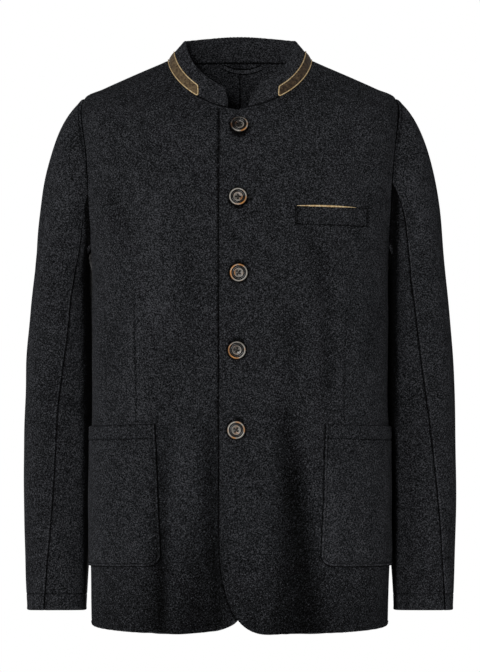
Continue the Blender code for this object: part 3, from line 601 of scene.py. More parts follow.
def stitch_line(name, lines, radius=0.34):
    """Stitches along several lines, each given as its points and normals."""
    forms = []
    for line, normal in lines:
        both = dense(np.concatenate([line, normal], axis=1), STITCH)
        tangent = unit(np.gradient(both[:, :3], axis=0))
        forms.append(spindle_row(both[:, :3], tangent, unit(both[:, 3:]), radius))
    points, quads = joined(forms)
    finish_piece(put_mesh(name, points, quads, thread), "milled_wool")
    print("%-24s %d stitches" % (name, len(points) // 25))


def laid_on(line, grid):
    """The line dropped on a surface: each point moves along the surface's normal to its nearest grid point."""
    points, normals = grid.reshape(-1, 3), grid_normals(grid).reshape(-1, 3)
    nearest = np.array([np.argmin(((points - place) ** 2).sum(axis=1)) for place in line])
    off = ((points[nearest] - line) * normals[nearest]).sum(axis=-1, keepdims=True)
    return line + normals[nearest] * off, normals[nearest]


# %% [markdown]
# ## The fronts and backs
# Each panel is a patch between four lines on the body's form: its front or centre edge, its hem, its side seam
# with half the armhole, and its shoulder seam. The patch blends opposite sides and takes off the blended
# corners. Lines of points crowd towards the edges, where the turned edge, the stitching and the seam need them.

# %% Lines round the panels
OVER, UNDER = (26.0, 10.0), (22.0, 7.0)  # how far each front reaches past the centre line, and its neck dips
LAYER_LIFT, LIFT_FADE = 3.6, (30.0, 85.0)
HEM_CORNER_WIDTH, HEM_CORNER_HEIGHT, HEM_CORNER_SQUARENESS = 71.0, 138.0, 2.8
ARMHOLE_FRONT, ARMHOLE_BACK, ARMHOLE_SCOOP = 15.5, 24.0, 1.12
CLOTH = 2.2
SKIRT_SHARE, EDGE_SHARE = 12 / 28, 18 / 28  # where the side and the front of a panel have their corner
SEAM_TUCK = 0.06  # each panel presses on its neighbour by so many degrees, so that no light comes through


def lift_at(x):
    """The covering front stands out near the centre line, where the other front lies beneath it."""
    return LAYER_LIFT * ease((LIFT_FADE[1] - x) / (LIFT_FADE[1] - LIFT_FADE[0]))


def armhole(turn, front):
    """Half the armhole, from the armpit at 0 to the shoulder point at 180: a sine in angle, and a raised cosine
    up."""
    sine, cosine = sin_cos(turn)
    climb = (UP_SHOULDER - UP_ARMPIT) * ((1 - cosine) / 2) ** ARMHOLE_SCOOP
    return np.stack([90 + (-ARMHOLE_FRONT if front else ARMHOLE_BACK) * sine, UP_ARMPIT + climb], axis=-1)


def resample(places, shares):
    """Points of a line of (angle, up) pairs at shares of its length, measured on the body."""
    length = walked(body(places[:, 0], places[:, 1]))
    return np.stack([np.interp(shares * length[-1], length, column) for column in places.T], axis=-1)


def two_part(first, second, shares, where):
    """A side of a panel in two parts, which meet at the share where."""
    low, high = shares[shares <= where] / where, (shares[shares > where] - where) / (1 - where)
    return np.concatenate([resample(first, low), resample(second, high)])


def patch(left, right, bottom, top, v, u):
    """Blend left to right, plus bottom to top, less the blend of the four corners."""
    v, u = v[:, None, None], u[None, :, None]
    sides = (1 - u) * left[:, None] + u * right[:, None]
    ends = (1 - v) * bottom[None] + v * top[None]
    return sides + ends - (1 - v) * ((1 - u) * left[0] + u * right[0]) - v * ((1 - u) * left[-1] + u * right[-1])


def crowded(length, close, step, extra=()):
    """Shares from 0 to 1 that crowd at both ends, where close lists distances in mm, and in extra ranges."""
    close = np.asarray(close, float)
    parts = [close, np.arange(close[-1] + step, length - close[-1] - step / 2, step), length - close[::-1]]
    parts += [np.arange(low * length, high * length, fine) for low, high, fine in extra]
    places = np.unique(np.round(np.concatenate(parts), 3))
    places = places[np.concatenate([[True], np.diff(places) > 0.28])]
    return places / places[-1]


# Where the grid's lines lie beside a stitched edge and a plain seam, and how tall a panel is, in mm.
NEAR_EDGE, NEAR_SEAM = [0, 0.5, 1.1, 1.9, 2.9, 3.7, 4.3, 4.9, 5.7, 7.0, 9.5, 13.0], [0, 0.7, 1.5, 2.6, 4, 6.5]
TALL = 780.0


def side_lines(front):
    """The side seam, half the armhole and the shoulder seam of a panel."""
    seam = 90 + (SEAM_TUCK if front else -SEAM_TUCK)
    hole = armhole(np.linspace(0, 180, 60), front)
    hole[[0, -1], 0] = seam
    shoulder = np.linspace((seam, UP_NECK), (seam, UP_SHOULDER), 30)
    return np.linspace((seam, 0), (seam, UP_ARMPIT), 40), hole, shoulder


def front_places(reach, neck_dip, v, u):
    """(angle, up) of one front. Its lower corner is a superellipse, split in its middle between hem and edge."""
    sine, cosine = sin_cos(np.linspace(0, 90, 61))
    power, side = 2 / HEM_CORNER_SQUARENESS, 90 + SEAM_TUCK
    corner_up = HEM_CORNER_HEIGHT * (1 - sine**power)
    corner_x = -reach + HEM_CORNER_WIDTH * (1 - cosine**power)
    corner = np.stack([angle_at(corner_x, corner_up), corner_up], axis=-1)
    edge_up = np.linspace(HEM_CORNER_HEIGHT, UP_NECK - neck_dip, 90)
    edge = np.stack([angle_at(np.full(90, -reach), edge_up), edge_up], axis=-1)
    neck = np.linspace(edge[-1], (side, UP_NECK), 60)
    neck[:, 1] = UP_NECK - neck_dip * (1 - ease((neck[:, 0] - neck[0, 0]) / 26.0))
    hem = np.linspace((corner[-1, 0], 0.0), (side, 0.0), 50)
    seam, hole, shoulder = side_lines(True)
    half = len(corner) // 2
    left = two_part(np.concatenate([corner[half::-1], edge[1:]]), neck, v, EDGE_SHARE)
    bottom = resample(np.concatenate([corner[half:], hem[1:]]), u)
    return patch(left, two_part(seam, hole, v, SKIRT_SHARE), bottom, resample(shoulder, u), v, u)


def back_places(v, u):
    """(angle, up) of one half back."""
    middle, side = 180 + SEAM_TUCK, 90 - SEAM_TUCK
    centre = np.linspace((middle, 0), (middle, UP_NECK), 60)
    neck, hem = (np.linspace((middle, up), (side, up), 60) for up in (UP_NECK, 0))
    seam, hole, shoulder = side_lines(False)
    left = two_part(centre, neck, v, EDGE_SHARE)
    return patch(left, two_part(seam, hole, v, SKIRT_SHARE), resample(hem, u), resample(shoulder, u), v, u)


# %% [markdown]
# A seam draws the cloth in on both sides of it, and a turned, topstitched edge is full with a groove where the
# thread pulls. Both are functions of the distance from a line. The dart is a seam that ends in nothing.

# %% Relief beside edges and seams
TOPSTITCH = 4.6  # mm from the edge


def seam_dip(distance, deep=1.5, wide=0.85):
    """A sharp valley at a seam, where the cloth turns in, beside a low ridge over the pressed seam allowance."""
    return -deep * np.exp(-distance / wide) + 0.3 * near(distance - 4.5, 2.6)


def stitched_edge(distance, full=0.5, groove=0.35):
    """A turned edge: rounded at its end, full up to the stitching, with a narrow groove under the thread."""
    return full * near(distance - 2.3, 1.9) - rounding(distance, 1.3) - groove * near(distance - TOPSTITCH, 0.8)


def dart_dip(x, z):
    """The chest dart: a thin valley on a nearly upright line, with a soft swell of cloth on both sides."""
    off = x - (133.0 + (z + 390.0) * 0.02)
    return ease((z + 478.0) / 20.0) * ease((-300.0 - z) / 40.0) * (0.35 * near(off, 9.0) - 0.95 * near(off, 1.5))


# %% The four body panels
BUTTON_XS, BUTTON_HEIGHTS = (-0.8, -2.5, -1.6, -4.0, -4.8), (-93.3, -185.5, -279.0, -376.2, -477.2)
BUTTON_RADIUS, HEM_ALLOWANCE, HEM_THICKNESS = 11.6, 34.0, 1.1
SEEDS = {"front_right": 11, "front_left": 12, "back_left": 13, "back_right": 14}


def under_buttons(x, z):
    """How little light reaches the front at the rim of each button, and in each buttonhole beside it."""
    dark = 0.0
    for button_x, button_z in zip(BUTTON_XS, BUTTON_HEIGHTS):
        beside, level = x - button_x, z - button_z
        rim = near(np.maximum(np.hypot(beside, level) - BUTTON_RADIUS, 0.0), 1.5)
        slit = 0.9 * near(level, 1.0) * near(np.maximum(np.abs(beside - 5.0) - 13.0, 0.0), 1.0)
        dark = np.maximum(dark, np.maximum(rim, slit))
    return dark


def body_panel(name, places):
    """A panel: the form, the layer's lift, slow relief, and the relief beside its edges and seams."""
    angle, up = places[..., 0] * (-1 if name.endswith("right") else 1), places[..., 1]
    base, normal = on_body(angle, up)
    if name == "front_left":
        base = raised(base, normal, lift_at(base[..., 0]))
    if name == "front_right":  # its hem climbs a little before it goes under the other front
        base[..., 2] += 4.2 * near(base[..., 0] + 28.0, 24.0) * ease((90.0 - up) / 90.0)
    x, z = base[..., 0], base[..., 2]
    to_hem, to_side = steps_along(base, 0), steps_along(base, 1)
    to_top, from_side = to_hem.max(0) - to_hem, to_side.max(1)[:, None] - to_side
    to_seam = np.minimum(to_top, from_side)
    slow = slow_relief(angle, z, SEEDS[name]) * ease(to_top / 16.0 + 0.1)
    fold = HEM_THICKNESS * ease((HEM_ALLOWANCE - to_hem) / 2.5)  # the hem is turned up inside
    # Painted shade: dark along the top and side seams and in the creases and folds, darker towards the hem and at
    # the shoulders, where less light falls
    hollow = 0.8 * np.maximum(near(to_top), near(from_side)) + fold_shade(girth_at(angle), z, BODY_CREASES)
    hollow = hollow + 0.06 * np.clip(fold_depth(x, z), 0.0, 9.0)
    hollow = hollow + 0.1 * ease((-560.0 - z) / 100.0) + 0.2 * ease((z + 105.0) / 70.0)
    if name.startswith("front"):
        to_edge = distance_to(base, dense(np.concatenate([base[0, ::-1], base[1:edge_rows, 0]])))
        from_neck = distance_to(base, dense(base[edge_rows - 1 :, 0]))
        dart = dart_dip(np.abs(x), z)
        height = slow + seam_dip(to_seam) + stitched_edge(to_edge) + dart + seam_dip(from_neck, 0.9, 0.7)
        slow = slow * ease(to_edge / 10.0 + 0.4)
        # inside is the turned edge's thickness; the inner face is painted with shade along the top seam
        inside, behind = 0.7 * rounding(to_edge, 1.3), near(to_top, 1.6)
        # Painted shade along the free edge and the neck seam; the dart's swell is painted lighter and its valley
        # darker
        hollow = hollow + 0.5 * near(to_edge, 0.5) + 0.4 * near(from_neck, 0.7) - 0.5 * dart
        if name == "front_left":
            # Painted shadow round each button and painted shade in each buttonhole
            hollow = np.maximum(hollow, under_buttons(x, z))
        else:
            # Under the other front's edge the cloth dips and is painted with that edge's shadow
            under = distance_to(base, over_edge)
            height, hollow = height - 1.4 * near(under, 2.4), hollow + 1.1 * near(under, 2.0)
    else:
        height = slow + seam_dip(np.minimum(to_seam, to_side)) + stitched_edge(to_hem, 0.4, 0.0)
        opened = ease((11.0 - to_side) / 1.5) * ease((690.0 - up) / 30.0)  # the pressed-open seam allowance
        inside = near(to_side, 0.9) - 0.9 * opened
        # The inner face is painted with shade along the centre-back seam and the top, and the outer face along
        # the seam
        behind = np.maximum(1.1 * near(to_side, 1.5), near(to_top, 1.6))
        hollow = np.maximum(hollow, near(to_side))
    outer, inner = raised(base, normal, height), raised(base, normal, slow - CLOTH - fold + inside)
    as_cloth(name, outer, inner, "hung", ["collar"], hollow=hollow, behind=behind)


trial_v = np.linspace(0, EDGE_SHARE, 200)
trial = front_places(*OVER, trial_v, np.array([0.0, 0.1, 1.0]))[:, 0]
button_v = np.interp(BUTTON_HEIGHTS, body(trial[:, 0], trial[:, 1])[:, 2], trial_v)
at_corner, at_buttons = [(0.0, 0.2, 1.8)], [(v - 0.017, v + 0.017, 1.4) for v in button_v]
v_front = crowded(TALL, NEAR_EDGE, 5.0, extra=at_corner + at_buttons)
u_front = crowded(285.0, NEAR_EDGE, 5.2, extra=[(0.05, 0.17, 1.8), (0.13, 0.24, 1.1), (0.55, 0.66, 1.2)])
v_back, u_back = crowded(TALL, [0, 0.5, 1.1, 1.9, 3, 5, 8], 5.5), crowded(250.0, NEAR_SEAM, 5.5)
for rows in (v_front, v_back):
    for share in (EDGE_SHARE, SKIRT_SHARE):  # a row runs through each corner of the cut
        rows[np.abs(rows - share).argmin()] = share
edge_rows = int((v_front <= EDGE_SHARE).sum())  # a front's free edge takes these rows, and its neck the rest
over_front = front_places(*OVER, v_front, u_front)
over_edge = np.concatenate([over_front[0, ::-1], over_front[1:edge_rows, 0]])
over_edge = dense(body(over_edge[:, 0], over_edge[:, 1]))
body_panel("front_right", front_places(*UNDER, v_front, u_front))
body_panel("front_left", over_front)
body_panel("back_left", back_places(v_back, u_back))
body_panel("back_right", back_places(v_back, u_back))

# %% [markdown]
# ## The sleeves
# A tailored sleeve has two pieces, an upper one and a narrower under one, with one seam in front and one
# behind. Its head is eased into the armhole, so it stands up in a soft ridge beside the seam, and from there it
# hangs in a tube that bends a little forwards. The head is one cubic for each direction round the armhole.

# %% The sleeve's form
SLEEVE_RINGS = np.array(
    [
        # z, outer_x, inner_x, centre_y, half_depth, squareness
        (-278, 270.7, 193.2, 45, 77, 2.4),  # upper arm
        (-350, 278.5, 191.8, 57, 76, 2.5),
        (-440, 282.8, 190.8, 62, 71, 2.6),  # elbow
        (-520, 284.4, 192.0, 63, 66, 2.7),
        (-600, 284.4, 194.8, 60, 60, 2.7),
        (-655, 282.2, 199.4, 54, 56, 2.7),
        (-715, 279.5, 202.2, 48, 52, 2.6),  # cuff
    ],
    float,
)
SEAM_HEIGHTS = np.array([-195, -225, -255, -278, -313, -350, -397, -461, -526, -595, -650, -715], float)
FRONT_SEAM = {
    "left": np.array([88.5, 93.4, 98.6, 99.2, 96.8, 94.4, 90.6, 83.7, 77.6, 70.5, 65.8, 59.2]),
    "right": np.array([96, 103.8, 107.1, 105.2, 101.5, 99.8, 95.6, 90.1, 88.1, 84.6, 80.4, 74.6]),
}
BACK_SEAM = np.array([246, 247.5, 249, 250, 252, 254, 257, 261, 264, 267, 268.5, 270])
CAP_OUT, DROP, HEAD = 0.54, (73.0, 165.0), 0.3
BICEPS_Z, CUFF_Z, CUFF_TILT = SLEEVE_RINGS[0, 0], SLEEVE_RINGS[-1, 0], 0.08


def armhole_ring(turn):
    """The armhole: turn 0 at the shoulder, 90 at the front, 180 at the armpit, 270 at the back."""
    turn = np.mod(turn, 360.0)
    places = np.where((turn <= 180)[..., None], armhole(180 - turn, True), armhole(turn - 180, False))
    return body(places[..., 0], places[..., 1])


def sleeve_ring(turn, z):
    """A superellipse between the sleeve's outer and inner edge at a height."""
    values = smooth_table(-z, -SLEEVE_RINGS[:, 0], SLEEVE_RINGS[:, 1:])
    outer_x, inner_x, centre_y, half_depth, square = np.moveaxis(values, -1, 0)
    sine, cosine = sin_cos(turn)
    radius = superellipse(cosine * 2 / (outer_x - inner_x), sine / half_depth, square)
    x, y = (outer_x + inner_x) / 2 + radius * cosine, centre_y - radius * sine
    return np.stack(np.broadcast_arrays(x, y, z - CUFF_TILT * (y + 4) * ease((-440 - z) / 275)), axis=-1)


def sleeve(turn, along):
    """along runs from 0 at the armhole to 1 at the cuff. The head is a Hermite cubic, which leaves the armhole
    outwards and arrives hanging straight down."""
    turn, along = np.broadcast_arrays(np.asarray(turn, float), np.asarray(along, float))
    start, end = armhole_ring(turn), sleeve_ring(turn, np.full(turn.shape, BICEPS_Z))
    span = np.linalg.norm(end - start, axis=-1, keepdims=True)
    forward, top = sin_cos(turn)
    round_turn = np.mod(turn, 360.0)
    drop = ease((round_turn - DROP[0]) / 45.0) * ease((DROP[1] - round_turn) / 40.0)
    leave = [0.1 + CAP_OUT * (1 - drop), (0.58 * drop - 0.28) * forward, 0.12 * top - 0.54 - 0.31 * drop]
    arrive = (sleeve_ring(turn, np.full(turn.shape, BICEPS_Z - 1.0)) - end) * span * 0.9
    t = np.clip(along / HEAD, 0.0, 1.0)[..., None]
    head = cubic(t, start, end, np.stack(leave, axis=-1) * span, arrive)
    z = BICEPS_Z + (CUFF_Z - BICEPS_Z) * np.clip((along - HEAD) / (1 - HEAD), 0.0, 1.0)
    return np.where((along <= HEAD)[..., None], head, sleeve_ring(turn, z))


def sleeve_normal(turn, along):
    across = sleeve(turn + 0.5, along) - sleeve(turn - 0.5, along)
    down = sleeve(turn, np.clip(along + 0.004, 0, 1)) - sleeve(turn, np.clip(along - 0.004, 0, 1))
    return unit(np.cross(across, down))


def seam_turn(seam, along):
    """The turn of a sleeve seam, read from its table by height."""
    return smooth_table(-np.interp(along, [0, HEAD, 1], [-195.0, BICEPS_Z, CUFF_Z]), -SEAM_HEIGHTS, seam)


# %% The four sleeve pieces
HEM_TURN = 21.0  # the cuff is turned up and its hem caught by a stitch this far from its edge, in mm
CUFF_ROWS = 1 - np.array([0.5, 1.2, 2.2, 3.4, 19.4, 20.2, 21, 21.8, 22.6]) / 433
low_rows = HEAD + (1 - HEAD) * np.unique(np.concatenate([np.linspace(0, 1, 84)[1:], CUFF_ROWS]))
head_rows = np.concatenate([[0.0008, 0.004, 0.008, 0.013, 0.019, 0.026, 0.034], np.linspace(0.044, HEAD, 28)])
SLEEVE_ROWS = np.concatenate([head_rows, low_rows])[:, None]
HALF_WIDTHS = {"upper": 235.0, "under": 150.0}


def uneven(table, seed, shift, spread):
    """The same creases for the other arm, moved up or down and made deeper or shallower by a seeded draw."""
    draw = np.random.default_rng(seed)
    moved = np.array(table, float)
    moved[:, [1, 3]] += draw.uniform(-shift, shift, (len(table), 1))
    moved[:, 5] *= draw.uniform(1 - spread, 1 + spread, len(table))
    return moved.tolist()


ARM_CREASES = {"left": SLEEVE_CREASES, "right": uneven(SLEEVE_CREASES, 5, 14.0, 0.35)}


def sleeve_piece(side, half, seed):
    """One of a sleeve's two pieces. The right ones are made as for the left arm, and mirrored."""
    table = ARM_CREASES[side]
    front, back = seam_turn(FRONT_SEAM[side], SLEEVE_ROWS), seam_turn(BACK_SEAM, SLEEVE_ROWS)
    start, end = (back - 360, front) if half == "upper" else (front, back)
    turn = start + (end - start) * crowded(HALF_WIDTHS[half], NEAR_SEAM, 5.0)[None]
    along = np.broadcast_to(SLEEVE_ROWS, turn.shape)
    base, normal = sleeve(turn, along), sleeve_normal(turn, along)
    x, z = base[..., 0], base[..., 2]
    across, down = steps_along(base, 1), steps_along(base, 0)
    to_cuff, beyond = down.max(0) - down, across.max(1)[:, None] - across
    slow = waviness(turn, z, seed) - creases(turn, z, table) - creases(turn + 360, z, table)
    slow = slow * ease(down / 14)
    crown = 0.7 * near(down - 6.0, 3.6) * np.clip(sin_cos(turn * 0.85)[1], 0, 1)
    height = slow + crown + seam_dip(across) + seam_dip(beyond) + seam_dip(down, 0.9, 0.7)
    height = height + stitched_edge(to_cuff, 0.4, 0.0) - 0.45 * near(to_cuff - HEM_TURN, 1.0)
    # Painted shade along the seams, in the creases and at the cuff's hem line
    hollow = np.maximum(np.maximum(near(across), near(beyond)), near(down, 1.5))
    hollow = hollow + fold_shade(turn, z, table) + fold_shade(turn + 360, z, table)
    hollow = hollow + 0.4 * near(to_cuff - HEM_TURN, 0.9)
    # A painted highlight on the ridge beside the armhole seam, and painted shade in the groove beyond it
    hollow = hollow - 0.45 * near(down - 2.3, 0.9) + 0.45 * near(down - 4.3, 0.9)
    if half == "under":  # painted shade where the arm lies against the body, in the crevice that light hardly reaches
        reach = 206.0 if side == "left" else 202.0 + 4.0 * ease((-235.0 - z) / 50.0)
        hollow = np.maximum(hollow, 1.1 * ease((reach - x) / 4.5) * ease((225 - turn) / 40))
    else:
        # A painted highlight on the ridge beside the front seam
        hollow = hollow - 0.45 * near(beyond - 1.9, 0.9)
    fold = HEM_THICKNESS * ease((HEM_TURN + 9 - to_cuff) / 2.5)
    if side == "right":
        base, normal = base * (-1, 1, 1), normal * (-1, 1, 1)
    outer, inner = raised(base, normal, height), raised(base, normal, slow - CLOTH - fold)
    panels = [f"front_{side}_cloth", f"back_{side}_cloth"]
    as_cloth(f"sleeve_{half}_{side}", outer, inner, "hung", panels, hollow=hollow)


for seed, side in enumerate(("left", "right"), start=21):
    sleeve_piece(side, "upper", seed)
    sleeve_piece(side, "under", seed + 10)

# %% [markdown]
# ## The collar
# A stand collar is a band of two layers with interlining, so it is thicker than the cloth alone and stands by
# itself. It leans towards the neck and its front corners are rounded. Its edge was turned and pressed.

# %% The collar's form
COLLAR_CLOTH, COLLAR_GAP = 3.2, 0.55
COLLAR_HEIGHTS, COLLAR_LEANS = (32.5, 33.5, 34.0), (36.0, 39.0, 19.0)  # at the front, side and back
COLLAR_END_LEFT, COLLAR_END_RIGHT, COLLAR_END_HEIGHT = 7.4, 10.3, 0.12
COLLAR_CORNER_LEFT, COLLAR_CORNER_RIGHT, COLLAR_CORNER_SQUARENESS = 24.0, 15.5, 1.72


def around(front, side, back, angle):
    """A value that goes from front to side to back with the cosine of the angle to the power 1.5."""
    cosine = sin_cos(angle)[1]
    return side + np.abs(cosine) ** 1.5 * (np.where(cosine > 0, front, back) - side)


def both_sides(angle, points):
    """Mirrors the points whose angle is past 180, to the right half."""
    points[..., 0] = np.where(angle > 180, -points[..., 0], points[..., 0])
    return points


def collar(angle, rise):
    """rise runs from 0 at the neck seam to 1 at the top edge, along a line that leans inwards. On the left of
    the centre line the band starts from the lifted front."""
    angle, rise = np.broadcast_arrays(np.asarray(angle, float), np.asarray(rise, float))
    half = np.where(angle > 180, 360 - angle, angle)
    base, normal = on_body(half, UP_NECK)
    lifted = np.where(angle < 180, lift_at(base[..., 0]) * (half < 90), 0.0)
    base = raised(base, normal, lifted) + COLLAR_GAP * unit(base - body(half, UP_NECK - 2.0))
    height, lean = around(*COLLAR_HEIGHTS, half), sin_cos(around(*COLLAR_LEANS, half))
    sine, cosine = sin_cos(half)
    outward = np.stack([sine, -cosine, 0 * half], axis=-1)
    slope = -outward * lean[0][..., None] + (0, 0, 1) * lean[1][..., None]
    bow = 1.2 * np.sin(np.pi * rise)
    return both_sides(angle, raised(raised(base, slope, height * rise), outward, bow))


def collar_normal(angle, rise):
    across = collar(angle + 0.3, rise) - collar(angle - 0.3, rise)
    return unit(np.cross(across, collar(angle, rise + 0.01) - collar(angle, rise - 0.01)))


# %% The collar band
def end_share(distance, corner):
    """Share of the full height near a rounded end: a quarter of a superellipse as long as the corner."""
    t = np.clip(1 - distance / corner, 0.0, 1.0)
    quarter = (1 - t**COLLAR_CORNER_SQUARENESS) ** (1 / COLLAR_CORNER_SQUARENESS)
    return COLLAR_END_HEIGHT + (1 - COLLAR_END_HEIGHT) * quarter


first, last, arc = COLLAR_END_LEFT, 360 - COLLAR_END_RIGHT, np.radians(1) * 88.0
angle = first + (last - first) * crowded(530.0, [0, 0.4, 0.9, 1.6, 2.4, 3.4, 4.6, 6, 8, 10.5], 3.2)
left_end = end_share((angle - first) * arc, COLLAR_CORNER_LEFT)
right_end = end_share((last - angle) * arc, COLLAR_CORNER_RIGHT)
rise = crowded(34.0, [0, 0.4, 0.9, 1.6, 2.5, 3.6], 1.8)[:, None] * np.minimum(left_end, right_end)[None]
angle = np.broadcast_to(angle, rise.shape)
base, normal = collar(angle, rise), collar_normal(angle, rise)
at_seam = both_sides(angle, body_normal(np.where(angle > 180, 360 - angle, angle), UP_NECK))
through = unit(at_seam + (normal - at_seam) * ease(rise / 0.33)[..., None])
to_edge = distance_to(base, dense(np.concatenate([base[:, 0], base[-1, 1:], base[-2::-1, -1]])))
from_seam = steps_along(base, 0)
wave = waviness(angle * 1.6, rise * 34.0, 41) * 0.5
rounded = 1.3 * rounding(to_edge, 2.0)
height = wave * ease(from_seam / 6) - rounded + 0.35 * near(to_edge - 3.6, 2.4) + seam_dip(from_seam)
outer, inner = raised(base, normal, height), raised(base, through, rounded - COLLAR_CLOTH)
panels = [f"{half}_{side}_cloth" for half in ("front", "back") for side in ("left", "right")]
# Painted shade along the neck seam, on both faces, and a lighter painted shade on the rim
seam_painted_shade = 0.9 * near(from_seam, 1.1)
as_cloth("collar", outer, inner, "stretched", panels, hollow=seam_painted_shade, rim_hollow=0.4, behind=seam_painted_shade)

# %% [markdown]
# ## The suede band and its piping
# The band on the collar is suede, cut on a slant in front and running round the back of the neck. A calf
# piping is caught in its seam all round. The band is a thin shell on the collar's form, and the piping is a
# round profile carried along its rim.

# %% A cord along a line


def cord_form(line, up, radius, closed=False, sides=10, flatten=1.0):
    """A tube: at each point of the line a ring of cos and sin between its sideways and its upward direction.
    The radius may change along the line, and an open tube's ends are closed by strips across their rings."""
    radius = np.broadcast_to(radius, len(line))[:, None, None]
    tangent = np.roll(line, -1, axis=0) - np.roll(line, 1, axis=0) if closed else np.gradient(line, axis=0)
    side = unit(np.cross(unit(tangent), up))
    upright = np.cross(side, unit(tangent))
    sine, cosine = sin_cos(np.arange(sides)[:, None] * 360 / sides)
    ring = cosine * side[:, None] + sine * upright[:, None] * flatten
    index = np.arange(len(line) * sides).reshape(len(line), sides)
    rows = np.concatenate([index, index[:1]]) if closed else index
    quads = cells(rows, np.roll(rows, -1, axis=1))
    if not closed:
        quads = np.concatenate([quads, index[0][strips(sides)][:, ::-1], index[-1][strips(sides)]])
    return (line[:, None] + ring * radius).reshape(-1, 3), quads


# %% Band and piping
INSET_TOP, INSET_BOTTOM, INSET_SLANT, INSET_CLOTH = 0.39, 0.03, 3.2, 0.9
INSET_END_LEFT, INSET_END_RIGHT, PIPING_RADIUS = 33.6, 37.0, 0.7

share = crowded(19.0, [0, 0.3, 0.7, 1.2, 1.9, 2.8], 1.2)[:, None]
slant = INSET_SLANT * share**1.4
start, finish = INSET_END_LEFT + slant, 360 - INSET_END_RIGHT - slant
angles = start + (finish - start) * crowded(440.0, [0, 0.3, 0.7, 1.2, 1.9, 2.8], 3.0)[None]
rise = np.broadcast_to(INSET_BOTTOM + (INSET_TOP - INSET_BOTTOM) * share, angles.shape)
surface, normal = collar(angles, rise), collar_normal(angles, rise)
to_edge = distance_to(surface, dense(rim_of(surface)))
height = 0.2 + INSET_CLOTH * (1 - 0.7 * near(to_edge, 0.7)) + 0.35 * sin_cos(np.clip(to_edge / 9, 0, 1) * 90)[0]
height = height + waviness(angles * 3, rise * 90, 51) * 0.3
outer, inner = raised(surface, normal, height), surface + normal * 0.1
nap_and_painted_side_shade = 0.25 * np.tanh(surface[..., 0] / 20.0)  # painted shade on the wearer's left of the neck and painted light on the right, for how light falls on the nap
band = {"kind": "suede", "material": suede, "slot": "suede", "hollow": nap_and_painted_side_shade, "rim_hollow": 0.0}
as_cloth("collar_inset", outer, inner, "laid", ["collar_cloth"], **band)


def softened(line, spread):
    """A closed line with its corners rounded: its Fourier terms fade as for a blur of this many steps."""
    wave = np.fft.fftfreq(len(line))[:, None]
    return np.real(np.fft.ifft(np.fft.fft(line, axis=0) * np.exp(-2 * (np.pi * wave * spread) ** 2), axis=0))


edge, facing = rim_of(surface), rim_of(normal)
aside = unit(np.cross(unit(np.roll(edge, -1, axis=0) - np.roll(edge, 1, axis=0)), facing))
line = edge + aside * (PIPING_RADIUS + 0.1) + facing * (PIPING_RADIUS + 0.35)
both = np.concatenate([line, facing], axis=1)
both = softened(dense(np.concatenate([both, both[:1]]), 0.7)[:-1], 1.6)
form = cord_form(both[:, :3], unit(both[:, 3:]), PIPING_RADIUS * 1.1, closed=True)
finish_piece(put_mesh("collar_piping_calf", *form, calf), "piping", "collar_piping")
print("piping: %.0f mm long" % walked(both[:, :3])[-1])

# %% [markdown]
# ## Pockets
# A patch pocket is a piece of cloth with its top hemmed and its other edges turned under, laid on the front and
# topstitched. It bags a little, and most below its middle. The welt on the chest is a small folded band with a
# slim calf edge that shows where the pocket gapes, thickest in the middle.

# %% The two patch pockets
POCKET_FRONT_X, POCKET_REAR_ANGLE, POCKET_TOP_Z, POCKET_BOTTOM_Z = (107.0, 101.0), 91.5, -470.0, -650.0
POCKET_WIDTH, POCKET_DROP, POCKET_CORNER, POCKET_PUFF = 165.0, 7.0, 16.0, 2.4
HEM_BAND, POCKET_TALL = 18.0, POCKET_TOP_Z - POCKET_BOTTOM_Z

